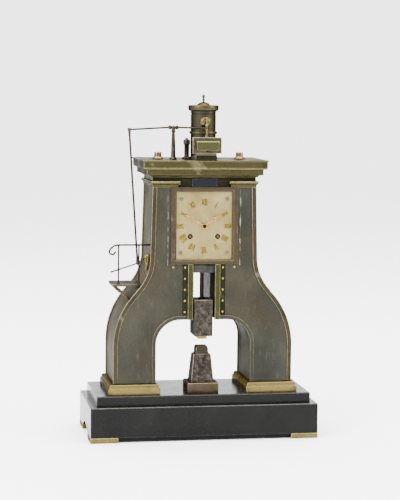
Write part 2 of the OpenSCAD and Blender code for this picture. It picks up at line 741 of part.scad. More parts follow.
module balance_wheel() color("#b9a25c") translate([0, 3, 0]) {
    translate([0, 0, plate_z[1] + 0.4]) cylinder(r = 0.7, h = 13);
    translate([0, 0, 310]) difference() {
        cylinder(r = 8, h = 1.2);
        translate([0, 0, -1]) cylinder(r = 6.6, h = 4);
    }
    box([-6.8, 6.8], [-0.9, 0.9], [310, 311]);
}

// Spring barrel with its great wheel, turning on the winding arbor
module barrel(pos, drum_y, wheel_y, phase) difference() {
    union() {
        rod_y(pos, 15.2, drum_y);
        gear(pos, 80, train_mod, phase, wheel_y);
    }
    rod_y(pos, winder_r + 0.08, [-30, 30]);
}

module going_barrel() color("#ab9356")
    barrel([-barrel_pos[0], barrel_pos[1]], [-6.6, 14], [-8.6, -6.6], barrel_dir + 180 + 2.25);

module strike_barrel() color("#ab9356") barrel(barrel_pos, [-5.8, 15.4], [15.4, 17.4], 0);

// Winding arbor with a square end in the dial's hole
module winder(pos) {
    rod_y(pos, winder_r, [-34, back_plate_y[1]]);
    box([pos[0] - 1.3, pos[0] + 1.3], [-38.6, -34], [pos[1] - 1.3, pos[1] + 1.3]);
}

module going_winder() color("#8f8d88") winder([-barrel_pos[0], barrel_pos[1]]);
module strike_winder() color("#8f8d88") winder(barrel_pos);

// Bell on the back plate
module bell() color("#b7ab85") {
    translate([0, back_plate_y[1], 262]) rotate([-90, 0, 0]) {
        rotate_extrude() polygon([[24, 3], [23.6, 5.4], [21, 9.4], [16, 12.2], [8, 13.6], [3, 13.8],
            [3, 12.4], [8, 12.2], [15.4, 10.8], [20, 8.4], [22.2, 5], [22.4, 3]]);
        cylinder(r = 3, h = 13.8);
    }
}

// Bell hammer on its arbor through the back plate
module bell_hammer() color("#8f8d88") {
    rod_y(bell_pivot, 1.5, [back_plate_y[0] - 3, back_plate_y[1] + 7]);
    bar([bell_pivot[0], back_plate_y[1] + 5.4, bell_pivot[1]], [27.4, back_plate_y[1] + 5.4, 262], 0.9);
    rod_y([27.4, 262], 2.7, [back_plate_y[1] + 3.4, back_plate_y[1] + 7.4]);
}

// Back door with a raised border, a knob and its half of each hinge
module rear_door() color("#8b7b4c") {
    difference() {
        box([-door_half, door_half], door_y, door_z);
        box([-32, 32], [door_y[1] - 0.7, far], [door_z[0] + 10, door_z[1] - 10]);
    }
    translate([-36, door_y[1], 262]) rotate([-90, 0, 0])
        rotate_extrude() polygon([[0, 0], [1.6, 0], [1.6, 2], [3, 3.4], [3, 5], [0, 5.8]]);
    for (z = hinge_z) difference() {
        union() {
            translate([hinge_pos[0], hinge_pos[1], z + 0.3]) cylinder(r = 1.9, h = 9.5);
            box([door_half - 8, hinge_pos[0]], [door_y[1], door_y[1] + 1], [z + 0.3, z + 9.8]);
        }
        translate([hinge_pos[0], hinge_pos[1], 0]) cylinder(r = pin_r + 0.05, h = far);
    }
}

module door_hinges() color("#7b6c45") for (z = hinge_z) {
    translate([hinge_pos[0], hinge_pos[1], z - 9.8]) cylinder(r = 1.9, h = 9.8);
    translate([hinge_pos[0], hinge_pos[1], z]) cylinder(r = pin_r, h = 10.6);
    box([hinge_pos[0], hinge_pos[0] + 8], [case_half_d, case_half_d + 1.1], [z - 9.8, z]);
    box([hinge_pos[0], hinge_pos[0] + 1.9], [case_half_d, hinge_pos[1]], [z - 9.8, z]);
}

base_block();
base_board();
base_feet();
base_step();
leg_plinths();
front_panels();
back_panels();
side_rims();
arch_rims();
side_skins();
arch_skins();
slot_lining();
capitals();
neck();
cornice();
tie_bolts();
cylinder_barrel();
cylinder_fittings();
steam_chest();
chest_cover();
steam_pipe();
valve_column();
valve_beam();
valve_spindle();
pull_rod();
hand_lever();
lever_bracket();
platform();
platform_brackets();
railing();
guides();
guide_rivets();
gland_block();
ram();
ram_die();
piston_rod();
lift_lever();
anvil();
anvil_die();
anvil_plinth();
dial_frame();
dial_plate();
dial_numerals();
dial_screws();
minute_hand();
hour_hand();
center_arbor();
hour_wheel();
minute_wheel();
third_wheel();
movement_frame();
going_barrel();
strike_barrel();
going_winder();
strike_winder();
balance_wheel();
bell();
bell_hammer();
rear_door();
door_hinges();
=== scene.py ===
import math
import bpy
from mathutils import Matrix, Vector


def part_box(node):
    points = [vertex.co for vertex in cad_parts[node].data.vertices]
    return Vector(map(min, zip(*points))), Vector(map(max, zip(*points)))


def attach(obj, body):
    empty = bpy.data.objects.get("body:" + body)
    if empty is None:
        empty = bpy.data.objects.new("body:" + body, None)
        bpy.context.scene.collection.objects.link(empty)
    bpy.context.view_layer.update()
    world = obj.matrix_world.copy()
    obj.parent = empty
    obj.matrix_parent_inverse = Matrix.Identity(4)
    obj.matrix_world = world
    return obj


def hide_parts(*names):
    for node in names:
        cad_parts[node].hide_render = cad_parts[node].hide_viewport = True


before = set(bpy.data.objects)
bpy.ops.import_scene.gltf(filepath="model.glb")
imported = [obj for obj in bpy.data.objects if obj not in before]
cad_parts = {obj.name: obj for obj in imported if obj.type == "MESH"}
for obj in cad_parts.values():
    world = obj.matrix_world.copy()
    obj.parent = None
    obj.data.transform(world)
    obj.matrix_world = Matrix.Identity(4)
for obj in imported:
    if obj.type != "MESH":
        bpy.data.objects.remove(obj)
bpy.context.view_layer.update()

from types import SimpleNamespace

import bmesh
import bpy
from mathutils import Matrix, Vector

# Steam-hammer mantel clock. Shapes are worked out in millimetres in the part's own frame:
# X to the right as seen from the dial, -Y towards the viewer, Z up from the plane of the feet.

MM = 0.001
FULL_TURN = 2 * math.pi
CREASE = 34.0  # faces that meet at more degrees than this stay sharp


def cosd(degrees):
    return math.cos(math.radians(degrees))


def sind(degrees):
    return math.sin(math.radians(degrees))


def span(node):
    """Where a CAD node lies, in millimetres: its ends, its middle and its half sizes."""
    lo, hi = (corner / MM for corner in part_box(node))
    mid, half = (lo + hi) / 2, (hi - lo) / 2
    return SimpleNamespace(x0=lo.x, x1=hi.x, y0=lo.y, y1=hi.y, z0=lo.z, z1=hi.z,
                           cx=mid.x, cy=mid.y, cz=mid.z, hx=half.x, hy=half.y, hz=half.z)


# ------------------------------------------------------------------ making shapes

LAY = {"X": lambda u, v, w: (w, u, v), "Y": lambda u, v, w: (u, w, v), "Z": lambda u, v, w: (u, v, w)}


def start():
    """An empty bmesh whose faces remember whether they are a rounded edge, which the finishes rub bright
    and paint with a highlight.
    """
    part = bmesh.new()
    part.faces.layers.float.new("worn")
    return part


def joined(parts):
    """One bmesh that holds all the parts."""
    whole = start()
    carrier = bpy.data.meshes.new("carrier")
    for part in parts:
        part.to_mesh(carrier)
        part.free()
        whole.from_mesh(carrier)
    bpy.data.meshes.remove(carrier)
    return whole


def soften(part, width, segments=2, least=28.0, chosen=None):
    """Rounds the edges that turn by more than the least angle, and marks the faces as rubbed edges that
    also take a painted highlight.
    """
    worn = part.faces.layers.float["worn"]
    edges = [e for e in part.edges if len(e.link_faces) == 2
             and math.degrees(e.calc_face_angle(0)) > least and (chosen is None or chosen(e))]
    made = bmesh.ops.bevel(part, geom=edges, offset=width, segments=segments, profile=0.5,
                           affect="EDGES", material=-1, clamp_overlap=True)
    for face in made["faces"]:
        face[worn] = 1
    return part


def moved(part, offset=(0, 0, 0), turn=0.0):
    """The part turned by degrees about the Y axis, then shifted."""
    part.transform(Matrix.Translation(offset) @ Matrix.Rotation(math.radians(turn), 4, "Y"))
    return part


def mirrored(part, axis="X"):
    """The part turned into its own mirror image, with its faces pointing outwards again."""
    part.transform(Matrix.Scale(-1, 4, Vector((1, 0, 0)) if axis == "X" else Vector((0, 1, 0))))
    bmesh.ops.reverse_faces(part, faces=part.faces)
    return part


def pair(make, axis="X"):
    """What make() builds, and its mirror image."""
    return make() + [mirrored(part, axis) for part in make()]


def corners(make):
    """What make() builds, at all four corners."""
    return pair(lambda: pair(make), "Y")


def arc(centre, radius, first, last, steps):
    return [(centre[0] + radius * cosd(a), centre[1] + radius * sind(a))
            for a in (first + (last - first) * i / steps for i in range(steps + 1))]


def block(x, y, z, bevel=0.3, segments=2):
    """A rectangular block with rubbed edges."""
    part = start()
    bmesh.ops.create_cube(part, size=1)
    bmesh.ops.scale(part, vec=(x[1] - x[0], y[1] - y[0], z[1] - z[0]), verts=part.verts)
    bmesh.ops.translate(part, vec=((x[0] + x[1]) / 2, (y[0] + y[1]) / 2, (z[0] + z[1]) / 2),
                        verts=part.verts)
    return soften(part, bevel, segments)


def grown(part, face, first):
    """Grows a face out of the part. Only the first face stays behind, as the end of the part."""
    made = bmesh.ops.extrude_face_region(part, geom=[face])["geom"]
    if not first:
        bmesh.ops.delete(part, geom=[face], context="FACES_ONLY")
    return next(f for f in made if isinstance(f, bmesh.types.BMFace))


def prism(outline, axis, low, high, bevel=0.3, segments=2, least=28.0, chosen=None):
    """A flat outline carried along an axis. Its points are (x, z), (y, z) or (x, y)."""
    part = start()
    lay = LAY[axis]
    face = part.faces.new([part.verts.new(lay(u, v, low)) for u, v in outline])
    bmesh.ops.translate(part, vec=lay(0, 0, high - low), verts=grown(part, face, True).verts)
    bmesh.ops.recalc_face_normals(part, faces=part.faces)
    return soften(part, bevel, segments, least, chosen) if bevel else part


def moulded(cx, cy, hx, hy, profile, corner=0.3, arris=0.22):
    """A block whose four sides follow a profile of (offset, height) points."""
    part = start()
    offset, height = profile[0]
    face = part.faces.new([part.verts.new((cx + sx * (hx + offset), cy + sy * (hy + offset), height))
                           for sx, sy in ((-1, -1), (1, -1), (1, 1), (-1, 1))])
    for step, (offset, height) in enumerate(profile[1:]):
        face = grown(part, face, step == 0)
        for vert in face.verts:
            vert.co = (cx + math.copysign(hx + offset, vert.co.x - cx),
                       cy + math.copysign(hy + offset, vert.co.y - cy), height)
    bmesh.ops.recalc_face_normals(part, faces=part.faces)
    soften(part, corner, 2, 28, lambda e: min(abs(e.verts[0].co.x - e.verts[1].co.x),
                                              abs(e.verts[0].co.y - e.verts[1].co.y)) > 1e-3
           or abs(e.verts[0].co.z - e.verts[1].co.z) > 1e-3)
    return soften(part, arris, 2, 38) if arris else part


def turned(profile, origin=(0, 0, 0), way="Z", steps=56, arris=0.12):
    """A lathe-turned part: (radius, height) points spun about an axis through the origin."""
    part = start()
    verts = [part.verts.new((radius, 0, height)) for radius, height in profile]
    edges = [part.edges.new(two) for two in zip(verts, verts[1:])]
    if profile[0][0] > 0 and profile[-1][0] > 0:
        edges.append(part.edges.new((verts[-1], verts[0])))
    bmesh.ops.spin(part, geom=verts + edges, cent=(0, 0, 0), axis=(0, 0, 1), angle=FULL_TURN,
                   steps=steps, use_merge=True)
    bmesh.ops.remove_doubles(part, verts=part.verts, dist=1e-4)
    bmesh.ops.recalc_face_normals(part, faces=part.faces)
    if arris:
        soften(part, arris, 2, 50)
    lay = {"Z": Matrix(), "-Y": Matrix.Rotation(math.pi / 2, 4, "X"),
           "Y": Matrix.Rotation(-math.pi / 2, 4, "X")}
    part.transform(Matrix.Translation(origin) @ lay[way])
    return part


def ring(x, z, y, outer, inner, steps=40):
    """A flat ring that stands upright, from y[0] back to y[1]."""
    return turned([(inner, 0), (outer, 0), (outer, y[1] - y[0]), (inner, y[1] - y[0])],
                  (x, y[0], z), "Y", steps, min(0.12, (outer - inner) / 5))


def disc(x, z, y, radius):
    """A solid turned boss or pin along Y, from y[0] back to y[1]."""
    return turned([(0, 0), (radius, 0), (radius, y[1] - y[0]), (0, y[1] - y[0])], (x, y[0], z), "Y", 40,
                  0.15)


def ball(centre, radius):
    part = start()
    bmesh.ops.create_uvsphere(part, u_segments=28, v_segments=14, radius=radius,
                              matrix=Matrix.Translation(centre))
    return part


def bent(points, radius):
    """A round bar along a line of points."""
    part = start()
    points = [Vector(p) for p in points]
    legs = [(b - a).normalized() for a, b in zip(points, points[1:])]
    ways = [legs[0]] + [(a + b).normalized() for a, b in zip(legs, legs[1:])] + [legs[-1]]
    bmesh.ops.create_circle(part, cap_ends=True, segments=16, radius=radius,
                            matrix=Matrix.Translation(points[0])
                            @ ways[0].to_track_quat("Z", "Y").to_matrix().to_4x4())
    part.faces.ensure_lookup_table()
    face = part.faces[0]
    for step, (a, b, p, q) in enumerate(zip(points, points[1:], ways, ways[1:])):
        face = grown(part, face, step == 0)
        bmesh.ops.transform(part, verts=face.verts, matrix=Matrix.Translation(b)
                            @ p.rotation_difference(q).to_matrix().to_4x4() @ Matrix.Translation(-a))
    bmesh.ops.recalc_face_normals(part, faces=part.faces)
    return part


def slotted_head(x, z, y, radius, slot, depth, turn=0.0):
    """A screw head that faces -Y, with a sawn slot: a disc with two halves standing on it."""
    half_angle = math.degrees(math.asin(slot / radius))
    half = arc((0, 0), radius, half_angle, 180 - half_angle, 20)

    def on_front(e):
        return max(v.co.y for v in e.verts) < y[0] + 0.01

    parts = [prism(arc((0, 0), radius, 0, 348, 29), "Y", y[0] + depth, y[1], 0)]
    parts += [prism(side, "Y", y[0], y[0] + depth + 0.02, 0.16, 2, 40, on_front)
              for side in (half, [(u, -v) for u, v in half])]
    return [moved(part, (x, 0, z), turn) for part in parts]


def dome_stud(x, z, y, radius, height):
    """A snap rivet head that faces -Y."""
    curve = [(radius * cosd(a), height * sind(a)) for a in range(0, 90, 15)]
    return turned([(0, -0.2), (radius, -0.2)] + curve + [(0, height)], (x, y, z), "-Y", 28, 0)


def loops(rings):
    """A closed frame through rectangles given as (half width, bottom, top, y)."""
    part = start()
    bands = []
    for half, low, high, y in rings:
        verts = [part.verts.new((x, y, z)) for x, z in ((-half, low), (half, low), (half, high),
                                                        (-half, high))]
        bands.append([part.edges.new((verts[i], verts[(i + 1) % 4])) for i in range(4)])
    for a, b in zip(bands, bands[1:] + bands[:1]):
        bmesh.ops.bridge_loops(part, edges=a + b)
    bmesh.ops.recalc_face_normals(part, faces=part.faces)
    return part


def panelled(x, y, z, rail, sunk, edge):
    """A flat frame round a panel sunk by so much below its back face."""
    part = block(x, y, z, edge)
    back = max(part.faces, key=lambda face: (face.calc_center_median().y, face.calc_area()))
    bmesh.ops.inset_region(part, faces=[back], thickness=rail, use_even_offset=True)
    bmesh.ops.inset_region(part, faces=[back], thickness=sunk, depth=-sunk, use_even_offset=True)
    return part


def piece(name, body, slot, finish, parts, *nodes):
    """Finishes an object in metres: it rides on a body and stands for CAD nodes. The slot argument is not
    used.
    """
    whole = joined(parts)
    worn = whole.faces.layers.float["worn"]
    for face in whole.faces:
        face.smooth = True
    for edge in whole.edges:
        rubbed = [face[worn] > 0.5 for face in edge.link_faces]
        edge.smooth = all(rubbed) or (not any(rubbed) and math.degrees(edge.calc_face_angle(0)) < CREASE)
    bmesh.ops.scale(whole, vec=(MM, MM, MM), verts=whole.verts)
    mesh = bpy.data.meshes.new(name)
    whole.to_mesh(mesh)
    whole.free()
    mesh.materials.append(finish)
    made = bpy.data.objects.new(name, mesh)
    bpy.context.scene.collection.objects.link(made)
    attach(made, body)
    if nodes:
        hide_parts(*nodes)


# ------------------------------------------------------------------ finishes

def linear(code):
    """sRGB hex code to a linear RGBA colour."""
    values = [int(code[i:i + 2], 16) / 255 for i in (1, 3, 5)]
    return tuple(v / 12.92 if v <= 0.04045 else ((v + 0.055) / 1.055) ** 2.4 for v in values) + (1.0,)


def per(size_mm):
    """Texture scale at which one feature is about this many millimetres across."""
    return 1 / (size_mm * MM)


def add(tree, kind, inputs=None, out=0, stops=None, **settings):
    """Adds one shader node with its settings, colour stops and links, and gives an output.
    A colour is a hex code."""
    node = tree.nodes.new("ShaderNode" + kind)
    for key, value in settings.items():
        setattr(node, key, value)
    if stops:
        elements = node.color_ramp.elements
        while len(elements) < len(stops):
            elements.new(0.5)
        for element, (place, value) in zip(elements, stops):
            element.position = place
            element.color = linear(value) if isinstance(value, str) else (value, value, value, 1)
    for key, value in (inputs or {}).items():
        if isinstance(value, bpy.types.NodeSocket):
            tree.links.new(value, node.inputs[key])
        else:
            node.inputs[key].default_value = linear(value) if isinstance(value, str) else value
    return node.outputs[out]


def blank(name):
    """A new material with its tree, its shader and its object coordinates."""
    material = bpy.data.materials.new(name)
    material.use_nodes = True
    tree = material.node_tree
    return material, tree, tree.nodes["Principled BSDF"], add(tree, "TexCoord", out="Object")


def rubbed_and_highlit_edges(tree, tone, grit, stops, bright):
    """Rubs the rounded edges back to bright metal or pale stone, broken up by the grit: partly real wear
    and partly a painted highlight along the arrises.
    """
    edge = add(tree, "Attribute", attribute_name="worn", out="Fac")
    broken = add(tree, "ValToRGB", {"Fac": grit}, stops=stops)
    rubbed = add(tree, "Math", {0: edge, 1: broken}, operation="MULTIPLY")
    return add(tree, "Mix", {"Factor": rubbed, 6: tone, 7: bright}, 2, data_type="RGBA")


def surface(shader, tone, rough, height, depth_mm, strength=1.0, **fixed):
    """Gives the shader its colour, roughness and relief, and the settings that are fixed."""
    tree = shader.id_data
    bump = add(tree, "Bump", {"Height": height, "Distance": depth_mm * MM, "Strength": strength})
    for key, value in (("Base Color", tone), ("Roughness", rough), ("Normal", bump)):
        tree.links.new(value, shader.inputs[key])
    names = {"metal": "Metallic", "shine": "Specular IOR Level", "edge_on": "Specular Tint"}
    for key, value in fixed.items():
        shader.inputs[names[key]].default_value = linear(value) if isinstance(value, str) else value


def aged_metal(name, light, mid, dark, gloss, patch_mm, grain=(1, 1, 1), speck=0.35, rub_and_highlight=0.8, pit_mm=0.02,
               edge_on="#8c8c8c", metal=1.0, shine=0.5):
    """Old metal: patches of tarnish, fine specks of dirt, drawn grain, and edges rubbed bright, which also
    paints a highlight along them. gloss is the roughness where it is cleanest and where it is most
    tarnished; edge_on dulls what it mirrors at a low angle. A coat that is no longer bare metal has metal 0
    and a weak shine."""
    material, tree, shader, place = blank(name)
    patches = add(tree, "TexNoise", {"Vector": place, "Scale": per(patch_mm), "Detail": 6.0,
                                     "Roughness": 0.5, "Distortion": 0.3})
    specks = add(tree, "TexNoise", {"Vector": place, "Scale": per(2), "Detail": 3.0, "Roughness": 0.7})
    along = add(tree, "Mapping", {"Vector": place, "Scale": grain})
    lines = add(tree, "TexNoise", {"Vector": along, "Scale": per(1.1), "Detail": 3.0, "Roughness": 0.6})
    tone = add(tree, "ValToRGB", {"Fac": patches},
               stops=[(0.2, dark), (0.44, mid), (0.64, mid), (1.0, light)])
    dirt = add(tree, "ValToRGB", {"Fac": specks}, stops=[(0.34, speck), (0.48, 0.0)])
    tone = add(tree, "Mix", {"Factor": dirt, 6: tone, 7: dark}, 2, data_type="RGBA")
    streak = add(tree, "ValToRGB", {"Fac": lines}, stops=[(0.3, 0.82), (0.7, 1.12)])
    tone = add(tree, "Mix", {"Factor": 0.8, 6: tone, 7: streak}, 2, data_type="RGBA", blend_type="MULTIPLY")
    tone = rubbed_and_highlit_edges(tree, tone, specks, [(0.38, 0.25), (0.6, rub_and_highlight)], light)
    uneven = add(tree, "Mix", {"Factor": 0.4, 2: patches, 3: lines})
    rough = add(tree, "ValToRGB", {"Fac": uneven}, stops=[(0.35, gloss[1]), (0.65, gloss[0])])
    relief = add(tree, "Math", {0: specks, 1: lines}, operation="ADD")
    surface(shader, tone, rough, relief, pit_mm, 0.8, metal=metal, edge_on=edge_on, shine=shine)
    return material


def polished_slate():
    """Black slate ground flat and waxed: deep and glossy, with faint clouds and a haze of handling."""
    material, tree, shader, place = blank("polished_black_slate")
    clouds = add(tree, "TexNoise", {"Vector": place, "Scale": per(45), "Detail": 7.0, "Roughness": 0.6,
                                    "Distortion": 0.8})
    grit = add(tree, "TexNoise", {"Vector": place, "Scale": per(1.6), "Detail": 3.0, "Roughness": 0.7})
    haze = add(tree, "TexNoise", {"Vector": place, "Scale": per(18), "Detail": 5.0, "Roughness": 0.65,
                                  "Distortion": 1.2})
    tone = add(tree, "ValToRGB", {"Fac": clouds},
               stops=[(0.3, "#050505"), (0.6, "#090908"), (0.8, "#10100f")])
    spots = add(tree, "ValToRGB", {"Fac": grit}, stops=[(0.62, 0.0), (0.78, 0.35)])
    tone = add(tree, "Mix", {"Factor": spots, 6: tone, 7: "#1a1917"}, 2, data_type="RGBA")
    tone = rubbed_and_highlit_edges(tree, tone, grit, [(0.4, 0.2), (0.62, 0.75)], "#4a4844")
    rough = add(tree, "ValToRGB", {"Fac": haze}, stops=[(0.3, 0.14), (0.72, 0.3)])
    surface(shader, tone, rough, grit, 0.01, shine=0.08)
    return material


def ebonised_board():
    """Softwood under the base, set almost black as painted shade for the gap between the base and the
    floor, with a little long grain.
    """
    material, tree, shader, place = blank("softwood_black_as_painted_shade")
    along = add(tree, "Mapping", {"Vector": place, "Scale": (0.06, 1, 1)})
    fibre = add(tree, "TexNoise", {"Vector": along, "Scale": per(2.5), "Detail": 5.0, "Roughness": 0.6})
    tone = add(tree, "ValToRGB", {"Fac": fibre}, stops=[(0.3, "#020202"), (0.7, "#050504")])
    rough = add(tree, "ValToRGB", {"Fac": fibre}, stops=[(0.3, 0.55), (0.7, 0.75)])
    surface(shader, tone, rough, fibre, 0.08, shine=0.1)
    return material


def silvered_dial():
    """Brass silvered by hand and lacquered: pale, warm and softly stippled, yellowed in places."""
    material, tree, shader, place = blank("silvered_brass_dial")
    age = add(tree, "TexNoise", {"Vector": place, "Scale": per(26), "Detail": 5.0, "Roughness": 0.6,
                                 "Distortion": 0.5})
    stipple = add(tree, "TexNoise", {"Vector": place, "Scale": per(0.8), "Detail": 2.0, "Roughness": 0.6})
    foxing = add(tree, "TexNoise", {"Vector": place, "Scale": per(3.2), "Detail": 4.0, "Roughness": 0.7})
    tone = add(tree, "ValToRGB", {"Fac": age},
               stops=[(0.28, "#5e512c"), (0.52, "#6f623c"), (0.75, "#7b6f4b")])
    spots = add(tree, "ValToRGB", {"Fac": foxing}, stops=[(0.6, 0.0), (0.76, 0.3)])
    tone = add(tree, "Mix", {"Factor": spots, 6: tone, 7: "#423619"}, 2, data_type="RGBA")
    rough = add(tree, "ValToRGB", {"Fac": stipple}, stops=[(0.3, 0.42), (0.7, 0.6)])
    surface(shader, tone, rough, stipple, 0.02, metal=0.4, shine=0.2)
    return material


def patinated_sheet():
    """Brass sheet bronzed grey-brown: satin and clouded, with upright rubbing and grime, and a pale broken
    line painted beside the dial frame as a highlight where the panel edges catch the light."""
    material, tree, shader, place = blank("patinated_brass_sheet")
    clouds = add(tree, "TexNoise", {"Vector": place, "Scale": per(60), "Detail": 6.0, "Roughness": 0.5,
                                    "Distortion": 0.2})
    hue = add(tree, "TexNoise", {"Vector": place, "Scale": per(70), "Detail": 3.0, "Distortion": 0.5})
    along = add(tree, "Mapping", {"Vector": place, "Scale": (1, 1, 0.22)})
    rubs = add(tree, "TexNoise", {"Vector": along, "Scale": per(4), "Detail": 5.0, "Roughness": 0.64,
                                  "Distortion": 0.5})
    grit = add(tree, "TexNoise", {"Vector": place, "Scale": per(1.4), "Detail": 3.0, "Roughness": 0.7})
    cool = add(tree, "ValToRGB", {"Fac": clouds},
               stops=[(0.15, "#1b1b1a"), (0.5, "#2a2b26"), (0.88, "#37372f")])
    warm = add(tree, "ValToRGB", {"Fac": clouds},
               stops=[(0.15, "#1f1b15"), (0.5, "#2f2b22"), (0.88, "#3d372b")])
    which = add(tree, "ValToRGB", {"Fac": hue}, stops=[(0.36, 0.0), (0.7, 1.0)])
    tone = add(tree, "Mix", {"Factor": which, 6: cool, 7: warm}, 2, data_type="RGBA")
    worn = add(tree, "ValToRGB", {"Fac": rubs}, stops=[(0.58, 0.0), (0.74, 0.32)])
    tone = add(tree, "Mix", {"Factor": worn, 6: tone, 7: "#545245"}, 2, data_type="RGBA")
    grime = add(tree, "ValToRGB", {"Fac": grit}, stops=[(0.36, 0.3), (0.5, 0.0)])
    tone = add(tree, "Mix", {"Factor": grime, 6: tone, 7: "#11100e"}, 2, data_type="RGBA")
    # a painted highlight: a pale broken line on each side of the dial frame, where the edges of the
    # recessed panel catch the light
    highlight_line_x, highlight_line_half, highlight_line_low = 45.2, 0.6, 216
    x, _, z = (add(tree, "SeparateXYZ", {"Vector": place}, out=i) for i in range(3))
    across = add(tree, "Math", {0: x}, operation="ABSOLUTE")
    off = add(tree, "Math", {0: across, 1: highlight_line_x * MM, 2: highlight_line_half * MM}, operation="COMPARE")
    above = add(tree, "Math", {0: z, 1: highlight_line_low * MM}, operation="GREATER_THAN")
    broken_highlight = add(tree, "ValToRGB", {"Fac": rubs}, stops=[(0.5, 0.0), (0.62, 0.7)])
    line = add(tree, "Math", {0: off, 1: above}, operation="MULTIPLY")
    line = add(tree, "Math", {0: line, 1: broken_highlight}, operation="MULTIPLY")
    tone = add(tree, "Mix", {"Factor": line, 6: tone, 7: "#8e908d"}, 2, data_type="RGBA")
    tone = rubbed_and_highlit_edges(tree, tone, grit, [(0.38, 0.2), (0.58, 0.8)], "#6c6b59")
    rough = add(tree, "ValToRGB", {"Fac": rubs}, stops=[(0.3, 0.52), (0.7, 0.38)])
    relief = add(tree, "Math", {0: grit, 1: rubs}, operation="ADD")
    surface(shader, tone, rough, relief, 0.04, metal=0.95, edge_on="#36393c")
    return material


def corroded_iron(name, light, mid, dark, rust):
    """Bare cast iron: mottled and pitted, rusty in the hollows and rubbed grey on the highs."""
    material, tree, shader, place = blank(name)
    pits = add(tree, "TexVoronoi", {"Vector": place, "Scale": per(1.6)})
    mottle = add(tree, "TexNoise", {"Vector": place, "Scale": per(6), "Detail": 8.0, "Roughness": 0.7,
                                    "Distortion": 0.5})
    bloom = add(tree, "TexNoise", {"Vector": place, "Scale": per(3), "Detail": 6.0, "Roughness": 0.72,
                                   "Distortion": 0.8})
    tone = add(tree, "ValToRGB", {"Fac": mottle},
               stops=[(0.32, dark), (0.5, mid), (0.7, light)])
    rusty = add(tree, "ValToRGB", {"Fac": bloom}, stops=[(0.5, 0.0), (0.66, 0.6)])
    tone = add(tree, "Mix", {"Factor": rusty, 6: tone, 7: rust}, 2, data_type="RGBA")
    hollow = add(tree, "ValToRGB", {"Fac": pits}, stops=[(0.05, 0.35), (0.4, 1.0)])
    tone = add(tree, "Mix", {"Factor": 0.8, 6: tone, 7: hollow}, 2, data_type="RGBA", blend_type="MULTIPLY")
    tone = rubbed_and_highlit_edges(tree, tone, bloom, [(0.4, 0.3), (0.55, 0.9)], "#8f8572")
    rough = add(tree, "ValToRGB", {"Fac": bloom}, stops=[(0.3, 0.4), (0.7, 0.75)])
    relief = add(tree, "Mix", {"Factor": 0.5, 2: bloom, 3: hollow})
    surface(shader, tone, rough, relief, 0.3, 0.8, metal=0.85, edge_on="#5a5a5a")
    return material


SLATE = polished_slate()
SHADE_BOARD = ebonised_board()
DIAL = silvered_dial()
SHEET = patinated_sheet()
# The studio is bright, so every colour is set deeper than the finish looks in a dim room.
# Gilding brass under lacquer: bright yellow, with darker tarnish creeping in patches
GILT = aged_metal("lacquered_gilt_brass", "#b9a165", "#6a5628", "#3a2e14", (0.2, 0.42), 12)
# The plinths and feet of the same brass, browner in the lacquer
PLINTH = aged_metal("brown_lacquered_brass", "#9d8f5d", "#594f2d", "#352c16", (0.24, 0.44), 16,
                    (0.15, 1, 1))
# Brass gone olive under old lacquer: greenish and satin, drawn along its length
OLIVE = aged_metal("aged_olive_brass", "#89835b", "#34301d", "#1a180e", (0.26, 0.46), 22, (0.12, 1, 1))
# Upright guide bars of the same brass, drawn along their length
GUIDE = aged_metal("oiled_olive_brass", "#827c58", "#2d2c1b", "#19170e", (0.28, 0.46), 24, (1, 1, 0.12))
# The borders, browner where hands have held them, with the outer arris rubbed to pale brass and painted
# with a highlight
BORDER = aged_metal("rubbed_border_brass", "#a5a183", "#2f2a20", "#1b1611", (0.3, 0.5), 26, (1, 1, 0.2),
                    rub_and_highlight=0.55)
# Iron set almost black and dull: painted shade for the slot walls, the frieze under the cornice and the
# foot under the steam chest
NEAR_BLACK_SHADE = aged_metal("near_black_iron_painted_shade", "#3d392c", "#16150c", "#0b0b06", (0.5, 0.7), 12, pit_mm=0.04,
                     edge_on="#4a4a4a", metal=0.0, shine=0.12)
# Iron oxidised grey with a purple cast
GREYED = aged_metal("oxidised_grey_iron", "#86837c", "#302f2d", "#191917", (0.35, 0.55), 10)
# Sheet inside the arch, never polished
INNER = aged_metal("dull_inner_sheet", "#7b7864", "#383730", "#21201d", (0.45, 0.65), 24, edge_on="#a8a8a8")
# The bent outer sheets: the same bronzed sheet set paler than the fronts, as painted light on the sides
# that face the windows
LIT_SIDE_SHEET = aged_metal("bronzed_sheet_painted_lit_side", "#98947b", "#4f4c40", "#322f26", (0.34, 0.5), 40, (1, 1, 0.2),
                  edge_on="#969696")
# Rivet heads polished by the duster
RIVET = aged_metal("polished_rivet_brass", "#d2c48e", "#7d6d3f", "#4a3e20", (0.2, 0.34), 6, rub_and_highlight=0.4)
# Turned boss rubbed to a cream shine
CREAM = aged_metal("rubbed_cream_brass", "#948c64", "#443e25", "#211d11", (0.2, 0.38), 8)
# Bevelled cover in dark olive
COVER = aged_metal("dark_olive_cover", "#827f53", "#383623", "#1e1d13", (0.28, 0.46), 14, rub_and_highlight=0.5)
# Bars of the railing, browned all over
RAILING = aged_metal("browned_railing_brass", "#675f47", "#231e15", "#110e06", (0.3, 0.5), 12,
                     edge_on="#303030")
# Name plaque blued by heat, left plain
BLUED = aged_metal("heat_blued_plaque", "#5a5b5c", "#15161a", "#0a0a0c", (0.3, 0.46), 6, metal=0.6,
                   shine=0.3)
# Steel browned like a gun barrel: dark and satin, with upright drawn streaks
BROWNED = aged_metal("browned_steel", "#756e56", "#2b281e", "#161510", (0.3, 0.5), 14, (1, 1, 0.08))
# Silvering gone grey, with yellow brass showing at the edges
TARNISHED = aged_metal("tarnished_silvering", "#b0a988", "#3c362a", "#211d16", (0.28, 0.5), 12, rub_and_highlight=0.45)
